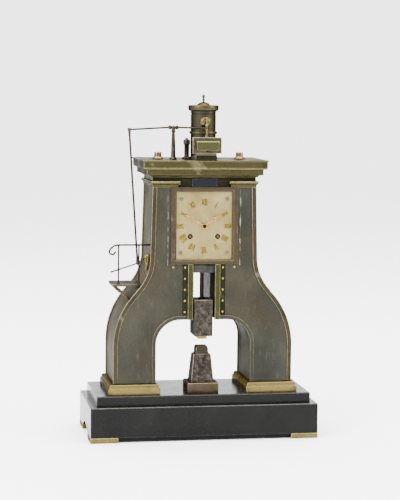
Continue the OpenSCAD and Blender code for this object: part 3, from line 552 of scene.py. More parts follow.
# Fire-gilt relief: rich yellow and bright
RELIEF = aged_metal("fire_gilt_relief", "#b09538", "#5b4a0b", "#312706", (0.22, 0.38), 6, speck=0.25,
                    rub_and_highlight=0.4)
# Gilding worn to the copper below: pinkish gold
ROSE = aged_metal("rose_gilding", "#dcab6c", "#9f7040", "#5c3a1f", (0.2, 0.34), 8, speck=0.2)
# Turned screws: clean bright steel
BRIGHT = aged_metal("turned_bright_steel", "#948c77", "#4d4739", "#211e18", (0.2, 0.36), 7, speck=0.2)
# Bronze browned by handling: dark with warm highs
BRONZE = aged_metal("browned_bronze", "#7e7561", "#302b24", "#191614", (0.28, 0.48), 10, edge_on="#3a3a3a")
# Brass rubbed pale on the highs
PALE = aged_metal("rubbed_pale_brass", "#c9b690", "#66553a", "#352b1c", (0.22, 0.42), 12)
# Copper-brown cap of the cylinder, rubbed yellow at its rim
CAP = aged_metal("rubbed_brown_brass", "#a79f7e", "#393425", "#1c1911", (0.22, 0.42), 14)
# Bronzed strip set very dark as painted shade on the riveted strips beside the guide bars
SHADED_STRIP = aged_metal("bronzed_strip_painted_shade", "#595741", "#1c1c13", "#0e0e09", (0.4, 0.6), 16, (1, 1, 0.2))
# Steel drawn through a die: streaked along its length
DRAWN = aged_metal("drawn_steel", "#6a6057", "#1f1917", "#0e0a09", (0.24, 0.45), 14, (1, 1, 0.05))
# Brown lacquer over copper: coppery with a soft shine
COPPER = aged_metal("brown_lacquered_copper", "#937d5f", "#352e23", "#1d1811", (0.3, 0.5), 18, (1, 1, 0.2))
# Clock brass: straight-grained and clean, its colours set very dark as painted shade for the movement seen
# deep in the case through the winding holes
SHADED_CLOCK_BRASS = aged_metal("clock_brass_darkened_as_shade", "#564420", "#21180b", "#100b05", (0.24, 0.42), 24, (0.08, 1, 1),
                   0.15)
# Bell metal left from the lathe: pale yellow-grey
BELL = aged_metal("turned_bell_metal", "#b0a678", "#756c48", "#484128", (0.22, 0.38), 20, speck=0.15)
RAM_IRON = corroded_iron("mottled_ram_iron", "#4a4640", "#282722", "#14130f", "#43372c")
ANVIL_IRON = corroded_iron("pitted_anvil_iron", "#4d4540", "#211f1d", "#12100f", "#4c3a2c")

# CAD nodes whose own shape serves keep it and take one of these finishes
KEPT = {DIAL: ["dial_plate"], GREYED: ["gland_block"], BRIGHT: ["going_winder", "strike_winder"],
        DRAWN: ["lift_lever", "center_arbor", "bell_hammer"],
        SHADED_CLOCK_BRASS: ["hour_wheel", "minute_wheel", "third_wheel", "movement_frame", "going_barrel",
                "strike_barrel",
                "balance_wheel"]}
for finish, node_names in KEPT.items():
    for node_name in node_names:
        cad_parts[node_name].data.materials.clear()
        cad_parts[node_name].data.materials.append(finish)


# ------------------------------------------------------------------ base

at = span("base_block")
arch_r, arch_z = 50.4, -35.4
arch_a = math.degrees(math.asin((at.z0 - arch_z) / arch_r))
end_wall = ([(at.y0, at.z0)] + arc((0, arch_z), arch_r, 180 - arch_a, arch_a, 28)
            + [(at.y1, at.z0), (at.y1, at.z1), (at.y0, at.z1)])
slab = prism(end_wall, "X", at.x0, at.x1, 0)
soften(slab, 1.2, 2, 28, lambda e: min(v.co.z for v in e.verts) > at.z1 - 0.01)
soften(slab, 0.4, 2, 60)
piece("slate_block", "case", "black_marble", SLATE, [slab], "base_block")

at = span("base_step")
piece("slate_step", "case", "black_marble", SLATE,
      [moulded(at.cx, at.cy, at.hx, at.hy, [(0, at.z0), (0, at.z1 - 0.8), (-0.8, at.z1)], 0.6)],
      "base_step")

at, foot = span("base_board"), span("base_feet")
foot_side = 34.3
foot_x, foot_y = foot.x1 - foot_side, foot.y1 - foot_side
outline = [(at.x1, foot_y), (foot_x, foot_y), (foot_x, at.y1), (-foot_x, at.y1), (-foot_x, foot_y),
           (at.x0, foot_y), (at.x0, -foot_y), (-foot_x, -foot_y), (-foot_x, at.y0), (foot_x, at.y0),
           (foot_x, -foot_y), (at.x1, -foot_y)]
piece("base_underboard", "case", "ebonised_board", SHADE_BOARD, [prism(outline, "Z", at.z0, at.z1, 0.5)],
      "base_board")

piece("brass_feet", "case", "gilt_brass", PLINTH, corners(lambda: [block(
    (foot_x, foot.x1), (foot_y, foot.y1), (foot.z0, foot.z1), 0.5)]), "base_feet")

at = span("leg_plinths")
plinth_half = 32.3
piece("leg_plinth_mouldings", "case", "gilt_brass", PLINTH, pair(lambda: [moulded(
    at.x1 - plinth_half, 0, plinth_half, at.hy, [(0, at.z0), (0, 63.8), (-1.6, 64.3), (-1.6, 65.6)]
    + [(-1.6 - 3.7 * (1 - cosd(a)), 65.6 + 3.7 * sind(a))
       for a in range(12, 91, 13)])]), "leg_plinths")


# ------------------------------------------------------------------ case

leg_out, arch_half, arch_top = 112.5, 59.4, 148.4
rim_w, arch_rim_w, skin_in, skin_t = 5.5, 4.8, 1.2, 1.6
slot_half, strip_out = 14, 27.5
plinth_top, case_top = span("side_rims").z0, span("side_rims").z1
rims = span("side_rims")
dial_low = span("dial_frame").z0
guide = span("guides")
guide_in = 13.8
corner_r = 30.9  # round corner of the arch
shoulder_at, shoulder_r = (15.5, 115), 97
waist_at, waist_r = (126, 226), 59
top_out = 64.8
bend_steps = 26
sheet_in, sheet_out = 38, 40


def outer_edge(inset):
    """Outer edge of the right leg from the plinth to the capital, moved inward by inset."""
    return ([(leg_out - inset, plinth_top)] + arc(shoulder_at, shoulder_r - inset, 0, 45, bend_steps)
            + arc(waist_at, waist_r + inset, 225, 180, bend_steps) + [(top_out - inset, case_top)])


def side_at(z):
    """How far out the right leg's side stands at a height."""
    line = outer_edge(1.3)
    return next(a[0] + (b[0] - a[0]) * (z - a[1]) / (b[1] - a[1]) for a, b in zip(line, line[1:])
                if a[1] <= z <= b[1])


def arch_edge(inset, end=slot_half):
    """Edge of the arch on the right, moved into the metal by inset."""
    return ([(arch_half + inset, plinth_top)]
            + arc((arch_half - corner_r, arch_top - corner_r), corner_r + inset, 0, 90, bend_steps)
            + [(end, arch_top + inset)])


def half_panel():
    """Outline of the right half of a case panel, inside the borders."""
    return (arch_edge(arch_rim_w) + [(slot_half, dial_low), (37, dial_low), (37, case_top)]
            + outer_edge(rim_w)[::-1])


def band(edge, outer, inner, y, bevel):
    """A strip that follows an edge, between two insets of it."""
    return [prism(edge(outer) + edge(inner)[::-1], "Y", y[0], y[1], bevel)]


def arch_to_guide(inset):
    """The edge of the arch, ended at the guide bar."""
    return arch_edge(inset, guide.x1)


front = span("front_panels")
piece("front_sheets", "case", "patinated_sheet", SHEET, pair(lambda: [
    prism(half_panel(), "Y", -sheet_out, -sheet_in, 0.2)]), "front_panels")
# the riveted strips take the darkened strip finish: painted shade
piece("riveted_strips", "case", "patinated_sheet", SHADED_STRIP, pair(lambda: [block(
    (guide.x1, strip_out), (front.y0, -39.9), (arch_top + arch_rim_w, dial_low), 0.3)]))
piece("back_sheets", "case", "patinated_sheet", SHEET, pair(lambda: [
    prism(half_panel(), "Y", sheet_in, sheet_out, 0.2)]), "back_panels")
piece("leg_borders", "case", "olive_brass", BORDER, corners(lambda: band(
    outer_edge, 0, rim_w, (sheet_in, rims.y1), 0.45)), "side_rims")
piece("arch_borders", "case", "patinated_sheet", SHEET, corners(lambda: band(
    arch_to_guide, 0, arch_rim_w, (sheet_in, rims.y1), 0.4)), "arch_rims")
piece("side_sheets", "case", "patinated_sheet", LIT_SIDE_SHEET, pair(lambda: band(
    outer_edge, skin_in, skin_in + skin_t, (-sheet_in, sheet_in), 0)), "side_skins")
piece("arch_sheets", "case", "patinated_sheet", INNER, pair(lambda: band(
    arch_edge, skin_in, skin_in + skin_t, (-sheet_in, sheet_in), 0)), "arch_skins")

at = span("slot_lining")
rib_y, lining_top = (-27, -23), 206.5
# near-black slot walls: painted shade inside the slot
piece("slot_walls", "case", "dark_lining", NEAR_BLACK_SHADE, pair(lambda: [
    block((slot_half, slot_half + 2), (at.y0, at.y1), (arch_top + 2.8, lining_top), 0.2),
    block((10.4, slot_half + 0.1), rib_y, (149, lining_top), 0.3)])
      + [block((at.x0, at.x1), (-12, at.y1), (lining_top, at.z1), 0.2)], "slot_lining")

cove = [(5.6 * (1 - cosd(a)), 325.5 + 2.2 * sind(a)) for a in range(0, 91, 15)]
at = span("cornice")
top_half = 11.5  # how far the top slab stands out
piece("cornice_mouldings", "case", "olive_brass", OLIVE, [moulded(
    0, 0, at.hx - top_half, at.hy - top_half,
    [(0, at.z0)] + cove + [(5.6, 334.6), (9.6, 335), (9.6, 336.2), (10, 336.6), (10, 344.4),
                           (top_half, 344.8), (top_half, at.z1)])], "cornice")

at = span("capitals")
cap_x, cap_half, cap_out = 49.1, 16.1, 2.2
piece("capital_mouldings", "case", "olive_brass", OLIVE, pair(lambda: [moulded(
    cap_x, 0, cap_half, at.hy - cap_out,
    [(0, at.z0), (0, 315), (0.3, 315.6), (0.9, 316.3), (2.2, 316.9), (2.2, 318.6), (1.8, 318.9),
     (1.8, 319.3), (2.2, 319.6), (2.2, at.z1)])]), "capitals")

at = span("neck")
frieze_half, frieze_y = 30.4, (36.5, 38.5)
piece("frieze_and_plate", "case", "dark_lining", NEAR_BLACK_SHADE, pair(lambda: [
    block((-frieze_half, frieze_half), frieze_y, (at.z0, 320.4), 0.2)], "Y")
      + [moulded(0, 0, at.hx, frieze_y[1], [(0, 320.3), (0, at.z1)]),
         block((-15, 15), (at.y0 + 0.4, -38.4), (313.6, 322.8), 0.2)], "neck")
piece("plain_name_plaque", "case", "dark_lining", BLUED, [
    block((-15.4, 15.4), (at.y0, at.y0 + 0.8), (313.2, 323.2), 0.3, 3)])


# ------------------------------------------------------------------ guides and rivets

piece("guide_bars", "case", "olive_brass", GUIDE, pair(lambda: [block(
    (guide_in, guide.x1), (guide.y0, guide.y1), (guide.z0, guide.z1), 0.5)]), "guides")
rivet_x, first_rivet, rivet_step = 23.7, 158.1, 13.8
screw_x, screw_z = 38.4, 213.6
piece("snap_rivets", "case", "pale_brass", RIVET, pair(lambda: [
    dome_stud(rivet_x, first_rivet + rivet_step * i, front.y0, 1.5, 1.15) for i in range(5)]
      + [dome_stud(screw_x, screw_z, -sheet_out, 1.6, 1.2)]), "guide_rivets")


# ------------------------------------------------------------------ hammer and anvil

hammer_y = -25
at = span("ram")
groove = 10.1
half_ram = [(at.x1, at.y0), (at.x1, hammer_y - 2.3), (groove, hammer_y - 2.3), (groove, hammer_y + 2.3),
            (at.x1, hammer_y + 2.3), (at.x1, at.y1)]
ram_body = prism(half_ram + [(-x, y) for x, y in half_ram[::-1]], "Z", at.z0, at.z1, 0)
soften(ram_body, 1, 1, 60, lambda e: max(v.co.z for v in e.verts) < at.z0 + 0.1)
soften(ram_body, 0.5, 2, 60, lambda e: min(v.co.z for v in e.verts) > at.z0 + 1)
piece("hammer_ram", "hammer", "mottled_iron", RAM_IRON, [ram_body], "ram")

at = span("ram_die")
piece("hammer_die", "hammer", "gilt_brass", GILT, [moulded(
    0, hammer_y, at.hx, at.hy, [(-0.5, at.z0), (0, at.z0 + 0.5), (0, at.z1)], 0.4)], "ram_die")

at = span("piston_rod")
rod_r, ram_top = 2.5, span("ram").z1
crosshead_low, pin_z = 224.6, 228
piece("piston_rod_and_crosshead", "hammer", "worn_steel", DRAWN, [
    turned([(0, ram_top - 1), (rod_r, ram_top - 1), (rod_r, 225), (0, 225)], (0, hammer_y, 0)),
    turned([(rod_r - 0.1, ram_top - 0.1), (4.6, ram_top - 0.1), (4.6, ram_top + 0.9), (3.6, ram_top + 2),
            (rod_r - 0.1, ram_top + 2)],
           (0, hammer_y, 0)),
    block((at.x0, at.x1), (hammer_y - 4, hammer_y + 4), (crosshead_low, at.z1), 0.4),
    disc(0, pin_z, (hammer_y + 3.8, at.y1), 1.2)],
    "piston_rod")

at = span("anvil")
piece("anvil_body", "case", "mottled_iron", ANVIL_IRON, [moulded(
    0, hammer_y, at.hx, at.hy, [(0, at.z0), (-3.3, 103), (-3.9, at.z1)], 0.5, 0.3)], "anvil")
at = span("anvil_die")
piece("anvil_top", "case", "oxidised_steel", BROWNED, [moulded(
    0, hammer_y, at.hx, at.hy, [(0, at.z0), (-0.3, 111.2), (-1.5, at.z1)], 0.4)], "anvil_die")
at = span("anvil_plinth")
piece("anvil_plinth_block", "case", "gilt_brass", COPPER, [moulded(
    0, hammer_y, at.hx, at.hy, [(0, at.z0), (0, at.z1 - 0.7), (-0.7, at.z1)], 0.4)], "anvil_plinth")


# ------------------------------------------------------------------ dial and hands

at = span("dial_frame")
open_half, open_low, open_high = 35, 222.9, 307.3
piece("dial_surround", "case", "copper_frame", COPPER, [soften(loops([
    (at.x1, at.z0, at.z1, -40), (at.x1, at.z0, at.z1, at.y0),
    (open_half + 1.6, open_low - 1.6, open_high + 1.6, at.y0),
    (open_half, open_low, open_high, at.y0 + 1.3), (open_half, open_low, open_high, at.y1),
    (36.9, at.z0 + 0.1, at.z1 - 0.1, at.y1), (36.9, at.z0 + 0.1, at.z1 - 0.1, -40)]), 0.25, 2, 28)],
    "dial_frame")

hands_z, numeral_r, numeral_h = 264.5, 29.9, 8
dial_face = span("dial_plate").y0
wide = {"I": 1.75, "V": 4.3, "X": 4.3}
foot_of = {"V": 0.3, "X": -1.7}


def numeral(word, hour):
    """One numeral of the ring, its foot towards the centre."""
    strokes, x, top = [], -sum(wide[c] for c in word) / 2, numeral_h / 2
    for letter in word:
        mid = x + wide[letter] / 2
        if letter == "I":
            strokes.append([(-0.6, -top), (0.6, -top), (0.6, top), (-0.6, top)])
            strokes += [[(-0.75, z - 0.25), (0.75, z - 0.25), (0.75, z + 0.25), (-0.75, z + 0.25)]
                        for z in (-top + 0.25, top - 0.25)]
        else:
            strokes += [[(side * 1.7 - w, top), (side * 1.7 + w, top), (foot_of[letter] * side + w, -top),
                         (foot_of[letter] * side - w, -top)] for side, w in ((-1, 0.75), (1, 0.5))]
        for count in range(3 if letter == "I" else 2):
            strokes[-1 - count] = [(u + mid, v + numeral_r) for u, v in strokes[-1 - count]]
        x += wide[letter]
    return [moved(prism(s, "Y", dial_face - 0.5, dial_face + 0.05 + 0.01 * i, 0.1), (0, 0, hands_z),
                  30 * hour)
            for i, s in enumerate(strokes)]


WORDS = ["I", "II", "III", "IIII", "V", "VI", "VII", "VIII", "IX", "X", "XI", "XII"]
piece("dial_numbers", "case", "gilt_relief", RELIEF,
      [part for i, word in enumerate(WORDS) for part in numeral(word, i + 1)], "dial_numerals")

dial_screw_x, dial_screw_low, dial_screw_high = 28.8, 231.8, 298.5
piece("dial_screw_heads", "case", "bright_screws", BRIGHT, [part for x, z, turn in (
    (-dial_screw_x, dial_screw_low, 25), (dial_screw_x, dial_screw_low, -40),
    (-dial_screw_x, dial_screw_high, 70), (dial_screw_x, dial_screw_high, 10))
    for part in slotted_head(x, z, (dial_face - 1.3, dial_face), 2.3, 0.35, 0.6, turn)], "dial_screws")


def hand(length, eye_at, eye_r, bore, y, turn):
    """A pierced hand: hub, stem, open eye and pointed tip, with a short tail."""
    mid, inner = (y[0] + y[1]) / 2, eye_r - 1
    tip = [(-1.8, eye_at + inner + 0.2), (1.8, eye_at + inner + 0.2), (0.3, length), (-0.3, length)]
    stem = [(-0.8, 2.7), (0.8, 2.7), (0.65, eye_at - inner - 0.3), (-0.65, eye_at - inner - 0.3)]
    tail = [(-1, -5), (1, -5), (0.7, -2.7), (-0.7, -2.7)]
    parts = [ring(0, 0, y, 3.1, bore), ring(0, eye_at, (y[0] + 0.02, y[1] - 0.02), eye_r, inner, 32),
             prism(stem, "Y", y[0] + 0.04, y[1] - 0.04, 0.1),
             prism(tail, "Y", y[0] + 0.04, y[1] - 0.04, 0.1), prism(tip, "Y", mid - 0.2, mid + 0.2, 0.1),
             ring(0, (2.9 + eye_at - eye_r) / 2 + 0.4, (y[0] + 0.03, y[1] - 0.03), 1.5, 0.7, 24)]
    return [moved(part, (0, 0, hands_z), turn) for part in parts]


at = span("minute_hand")
piece("minute_hand_gilt", "minute_arbor", "rose_gilt", ROSE,
      hand(29.5, 18.5, 2.3, 1.9, (at.y0, at.y1), 300), "minute_hand")
at = span("hour_hand")
piece("hour_hand_gilt", "hour_pipe", "rose_gilt", ROSE,
      hand(22.5, 14, 2.8, 2.2, (at.y0, at.y1), 55), "hour_hand")


# ------------------------------------------------------------------ top: bolts and cylinder

deck = span("cornice").z1
bolt_x, bolt_y, bolt_foot = 52, 5, 300


def tie_bolt():
    """A washer, its nut and the end of the rod, on the right."""
    washer = turned([(0, 0), (7.2, 0), (7.2, 0.8), (6.8, 1.2), (6, 1.7), (5.4, 2.5), (5.2, 3.2), (0, 3.2)],
                    (bolt_x, bolt_y, deck))
    nut = prism(arc((bolt_x, bolt_y), 4.8, 0, 300, 5), "Z", deck + 3.1, deck + 8.4, 0.5)
    shank = turned([(0, bolt_foot - deck), (2, bolt_foot - deck), (2, 9), (1.5, 9.5), (0, 9.7)],
                   (bolt_x, bolt_y, deck - 1.3), "Z", 28)
    return [washer, nut, shank]


piece("tie_bolts_and_nuts", "case", "pale_brass", PALE, pair(tie_bolt), "tie_bolts")

cyl = (0, hammer_y, 0)
at = span("cylinder_barrel")
barrel_r = 15.6
grooves = [(barrel_r, z + dz) if dz in (0, 1.2) else (barrel_r - 0.3, z + dz)
           for z in (352.5, 402) for dz in (0, 0.3, 0.9, 1.2)]
piece("cylinder_body", "case", "oxidised_steel", BROWNED, [turned(
    [(11.5, at.z0), (at.hx, at.z0), (at.hx, 348.8), (at.hx - 0.4, 349.4), (barrel_r, 350)] + grooves
    + [(barrel_r, at.z1), (11.5, at.z1)], cyl, steps=72)], "cylinder_barrel")

cap_r, cap_top, dome_r, dome_h = 18.9, 413.3, 8.7, 4
dome_ball = (dome_r ** 2 + dome_h ** 2) / (2 * dome_h)
dome = [(dome_r, cap_top - 0.2)]
for step in range(8, -1, -1):
    a = math.asin(dome_r / dome_ball) * step / 8
    dome.append((dome_ball * math.sin(a), cap_top + dome_h - dome_ball * (1 - math.cos(a))))
fit = span("cylinder_fittings")
boss = [(0, 0), (7.4, 0), (7.4, 3.2), (7.2, 3.9), (6.8, 4.1), (6.7, 4.5), (6.2, 5.3), (5.4, 6.1),
        (4.4, 6.7), (3.4, 7.1), (2.4, 7.3), (2.2, 7.1), (2, 7.3), (2, 8.1), (1.7, 8.4), (0, 8.4)]
piece("cylinder_cap", "case", "pale_brass", CAP, [
    turned([(0, 406), (17.2, 406), (17.6, 406.6), (18.5, 407.2), (cap_r, 407.9), (cap_r, cap_top - 0.9),
            (18.6, cap_top - 0.3), (18.1, cap_top), (0, cap_top)], cyl, steps=72),
    turned([(0, cap_top - 0.2)] + dome, cyl),
    turned([(0, 416.3), (1.6, 416.3), (1.6, 417.3), (1.2, 417.7), (1.2, 424), (0, 424)], cyl, steps=28),
    ball((0, hammer_y, 420.4), 1.7), ball((0, hammer_y, fit.z1 - 2), 2),
    turned([(barrel_r - 0.1, 377.9), (16.8, 377.9), (17.3, 378.5), (17.4, 379.5), (17.3, 380.5),
            (16.8, 381.1), (barrel_r - 0.1, 381.1)], cyl, steps=72)], "cylinder_fittings")
piece("cylinder_boss", "case", "pale_brass", CREAM, [turned(boss, (0, hammer_y - barrel_r + 4, 393), "-Y")])


# ------------------------------------------------------------------ steam chest and pipe

at = span("steam_chest")
plate_z = (354.7, 374.3)
spindle_y = -49
piece("steam_chest_body", "case", "silvered_metal", TARNISHED, [
    block((-12.4, 12.4), (-52, -36), (352.5, plate_z[1] - 1), 0.5),
    block((at.x0, at.x1), (at.y0, -52), plate_z, 0.4),
    turned([(0, 373), (3.1, 373), (3.1, 374.4), (2.8, 375), (2.3, 375.6), (2.1, 376.6), (2.2, 377.4),
            (1.7, 378.1), (0, 378.1)],
           (0, spindle_y, 0), steps=36)], "steam_chest")
piece("steam_chest_foot", "case", "dark_lining", NEAR_BLACK_SHADE, [moulded(
    0, -43.5, 13, 8.5, [(0, at.z0), (0, 351.4), (-0.6, 352.6)])])

at = span("chest_cover")
face_y = -54.2
cover = prism([(-13.9, 370.1), (-13.9, 361.2), (-13.2, 359.4), (-11.6, 358.4), (-2.6, 358.4), (-1.4, 359.1),
               (1.4, 359.1), (2.6, 358.4), (11.6, 358.4), (13.2, 359.4), (13.9, 361.2),
               (13.9, 370.1)], "Y", at.y0, face_y, 0)
soften(cover, 1.7, 3, 60, lambda e: max(v.co.y for v in e.verts) < at.y0 + 0.01
       and min(v.co.z for v in e.verts) > 369)
soften(cover, 0.5, 2, 60, lambda e: max(v.co.y for v in e.verts) < at.y0 + 0.3)
bolts = pair(lambda: [dome_stud(15.9, z, face_y, 1, 1.3) for z in (356.6, 364.5, 372.4)])
piece("chest_cover_and_bolts", "case", "olive_brass", COVER,
      [cover] + bolts + [dome_stud(0, z, face_y, 1, 1.3) for z in (356.5, 372.2)], "chest_cover")

at = span("steam_pipe")
piece("steam_pipe_stub", "case", "brown_bronze", BRONZE, [turned(
    [(0, 0), (6.4, 0), (6.4, 1.2), (6.1, 1.5), (5.2, 2.2), (3.9, 2.5), (3.3, 3.1), (3.2, 4), (3.2, 17.1),
     (3.6, 17.8), (4.4, 18.2), (4.4, 22.7), (4.1, 23.3), (3.4, 23.9), (2, 24.1), (2, 25.5), (1.6, 25.9),
     (0, 25.9)],
    (at.cx, at.cy, at.z0), steps=44)], "steam_pipe")


# ------------------------------------------------------------------ valve gear

gear_y, column_x, beam_z = -18, -36.2, 385.5
beam_end = (-91.2, 382.5)
rod_foot = (-80, 216.9)
lever_pivot = (-69.4, 224.6)
lever_tip = (-113.6, 206)

piece("beam_column", "case", "brown_bronze", BRONZE, [
    turned([(0, deck), (4.6, deck), (4.6, 346.9), (4.3, 347.4), (3.5, 348.2), (3.1, 349.4), (2.9, 350.8),
            (2.5, 364), (1.9, 378.9), (2.1, 379.4), (2.6, 380), (2.7, 380.6), (2.5, 381.2), (0, 381.2)],
           (column_x, gear_y, 0), steps=40),
    block((column_x - 1.9, column_x + 1.9), (gear_y - 3.6, gear_y + 3.6), (381.1, 382.4), 0.25),
    disc(column_x, beam_z, (gear_y - 4, gear_y + 4), 0.8)]
    + [part for y in (gear_y - 3.6, gear_y + 2.7) for part in (
        block((column_x - 1.9, column_x + 1.9), (y, y + 0.9), (382.3, beam_z), 0.2),
        disc(column_x, beam_z, (y - 0.02, y + 0.92), 1.9))], "valve_column")

hub = Vector((column_x, gear_y, beam_z))
eye = Vector((0, spindle_y, beam_z))
knob = Vector((4.4, 0, 0))
core = Vector((2, 0, 0))
reach = (eye - hub - knob).normalized()
piece("rocking_beam", "valve_beam", "brown_bronze", BRONZE, [
    ball(hub + knob, 2.55), ball(hub - knob, 2.55),
    ring(column_x, beam_z, (gear_y - 2.3, gear_y + 2.3), 2.2, 0.86),
    bent([hub - knob, hub - core], 1.6), bent([hub + core, hub + knob], 1.6),
    bent([hub - knob, Vector((beam_end[0] + 2, gear_y, beam_end[1] + 0.1))], 1.15),
    ring(beam_end[0], beam_end[1], (gear_y - 0.9, gear_y + 0.9), 2.3, 1.4),
    bent([hub + knob, eye - 2.1 * reach], 1.15),
    turned([(1.6, -0.6), (2.5, -0.6), (2.5, 0.6), (1.6, 0.6)], eye, steps=32)], "valve_beam")

at = span("valve_spindle")
piece("valve_rod", "valve_spindle", "pale_brass", PALE, [
    turned([(0, at.z0), (0.9, at.z0), (0.9, 383), (1.7, 383.2), (1.8, 383.6), (1.7, 384.5), (0.9, 384.6),
            (0.9, 396.6), (0, 396.6)], (0, spindle_y, 0), steps=28),
    ball((0, spindle_y, beam_z + 3.1), 2.1), ball((0, spindle_y, at.z1 - 1.5), 1.5)], "valve_spindle")


def fork(bore):
    """Cheeks of a fork open towards +Z, round the origin."""
    eyes = [ring(0, 0, y, 2.1, bore, 28) if bore else disc(0, 0, y, 2.1)
            for y in ((-2.05, -1.25), (1.25, 2.05))]
    arms = [block((-1.5, 1.5), y, (-5.2, -(bore + 0.2 if bore else 0)), 0.15)
            for y in ((-2.03, -1.27), (1.27, 2.03))]
    return eyes + arms + [block((-1.6, 1.6), (-2.05, 2.05), (-5.2, -4), 0.25)]


run = Vector((beam_end[0] - rod_foot[0], 0, beam_end[1] - rod_foot[1]))
tilt = math.degrees(math.atan2(run.x, run.z))
rod_parts = [moved(part, turn=180) for part in fork(0.85)]
rod_parts.append(bent([(0, 0, 4.6), (0, 0, run.length - 4.6)], 1.3))
rod_parts += [turned([(0.9, h), (1.5, h), (1.7, h + 0.7), (1.5, h + 1.4), (0.9, h + 1.4)], steps=28)
              for h in (6, run.length - 7.4)]
rod_parts += [moved(part, (0, 0, run.length)) for part in fork(0) + [disc(0, 0, (-2.4, 2.4), 0.8)]]
piece("pull_rod_and_forks", "pull_rod", "brown_bronze", BRONZE,
      [moved(part, (rod_foot[0], gear_y, rod_foot[1]), tilt) for part in rod_parts], "pull_rod")

joint = Vector((rod_foot[0], gear_y, rod_foot[1]))
tip = Vector((lever_tip[0], gear_y, lever_tip[1]))
grip = joint + 0.66 * (tip - joint)
pivot = Vector((lever_pivot[0], gear_y, lever_pivot[1]))
inward = (joint - pivot).normalized()
outward = (tip - joint).normalized()
piece("hand_lever_bent", "hand_lever", "brown_bronze", BRONZE, [
    ring(lever_pivot[0], lever_pivot[1], (gear_y - 1, gear_y + 1), 1.9, 0.86, 32),
    bent([pivot + 1.4 * inward, joint - 2.4 * inward, joint - 0.8 * inward, joint + 0.9 * outward,
          joint + 3 * outward, grip], 0.9),
    ball(joint, 1.15), bent([grip - 0.5 * outward, grip, grip + 0.3 * (tip - grip), tip], 1.05),
    disc(rod_foot[0], rod_foot[1], (gear_y - 2.5, gear_y + 2.5), 0.8)], "hand_lever")

at = span("lever_bracket")
cheek = [(side_at(209.5), 209.5), (68.6, 214), (71.2, 223.6), (71.2, 225.4), (70.2, 226.7), (68.6, 227.2),
         (side_at(227.6), 227.6)]
foot_plate = [(side_at(209), 209), (side_at(209) + 2.4, 209.3), (side_at(218) + 2.2, 218),
              (side_at(228) + 2.2, 227.7), (side_at(228), 228), (side_at(218), 218)]
piece("lever_bracket_cheeks", "case", "gilt_brass", GILT, [
    prism([(-x, z) for x, z in cheek], "Y", y, y + 1, 0.2) for y in (gear_y - 2.4, gear_y + 1.4)]
    + [prism([(-x, z) for x, z in foot_plate], "Y", at.y0, at.y1, 0.25),
       disc(lever_pivot[0], lever_pivot[1], (gear_y - 2.9, gear_y + 2.9), 0.8)], "lever_bracket")


# ------------------------------------------------------------------ platform and railing

at = span("platform")
inner_low, inner_high = side_at(at.z0), side_at(at.z1)
piece("driver_platform", "case", "silvered_metal", TARNISHED, [prism(
    [(at.x0, at.z0 + 0.3), (at.x0, at.z1), (-inner_high, at.z1), (-inner_low, at.z0), (at.x0 + 0.3, at.z0)],
    "Y", at.y0, at.y1, 0.3)], "platform")

scroll = [(-111.5, 189.3), (-109.6, 186.4), (-105.4, 182.6), (-100.5, 180), (-95.4, 175.4),
          (-side_at(171.6), 171.6),
          (-side_at(174.4), 174.4), (-94.4, 178.4), (-99.4, 183), (-103.6, 185.9), (-106.2, 189.3)]
piece("platform_scroll_brackets", "case", "brown_bronze", BRONZE, [
    prism(scroll, "Y", y, y + 2, 0.3) for y in (at.y0 + 1, at.y1 - 3)], "platform_brackets")

rail_y, rail_z, rail_r, bend_r, scroll_r = -28.4, 240.8, 1.15, 12.5, 3.6
post_x = (-105, -79.7)
bend_c = (post_x[0], rail_z - bend_r)
curl_c = (bend_c[0] + (bend_r - scroll_r) * cosd(150),
          bend_c[1] + (bend_r - scroll_r) * sind(150))
rail_line = [(-side_at(rail_z), rail_z), (-84, rail_z), (-95, rail_z)]
rail_line += arc(bend_c, bend_r, 90, 150, 14) + arc(curl_c, scroll_r, 160, 345, 26)
rail_parts = [bent([(x, rail_y, z) for x, z in rail_line], rail_r),
              ball((rail_line[-1][0], rail_y, rail_line[-1][1]), 1.4)]
for x in post_x:
    rail_parts.append(turned([(0, at.z1), (2, at.z1), (2, at.z1 + 0.7), (1.4, at.z1 + 1.3),
                              (1, at.z1 + 2.2), (1, rail_z - 2), (1.3, rail_z - 1.6),
                              (1.3, rail_z - 1.1), (0, rail_z - 1)],
                             (x, rail_y, 0), steps=28))
    rail_parts.append(ball((x, rail_y, rail_z), 1.25))
piece("platform_railing", "case", "pale_brass", RAILING, rail_parts, "railing")


# ------------------------------------------------------------------ back door, hinges and bell

door = span("rear_door")
door_x, door_y, door_out = 41.5, door.y0, 42.3
hinge = (43.8, 43.3)
knuckles = (238, 296)
knob_x, knob_z = -36, 262
door_parts = [panelled((-door_x, door_x), (door_y, door_out), (door.z0, door.z1), 8.5, 0.7, 0.3),
              turned([(0, -0.1), (2.4, -0.1), (2.4, 0.3), (1.6, 0.6), (1.5, 1.8), (2.4, 2.4), (3, 3.3),
                      (3, 4.6), (2.4, 5.2), (1, 5.7), (0, 5.8)], (knob_x, door_out, knob_z), "Y", 40)]
for z in knuckles:
    door_parts += [turned([(0.85, z + 0.3), (1.9, z + 0.3), (1.9, z + 9.8), (0.85, z + 9.8)],
                          (hinge[0], hinge[1], 0), steps=32),
                   block((door_x - 8, hinge[0] - 0.9), (door_out - 0.1, door_out + 1), (z + 0.4, z + 9.7),
                         0.2)]
    door_parts += [turned([(0, 0), (1.1, 0), (1, 0.4), (0.6, 0.7), (0, 0.8)], (x, door_out + 0.9, z + 5),
                          "Y", 24)
                   for x in (35.6, 39.4)]
piece("back_door", "rear_door", "olive_brass", OLIVE, door_parts, "rear_door")

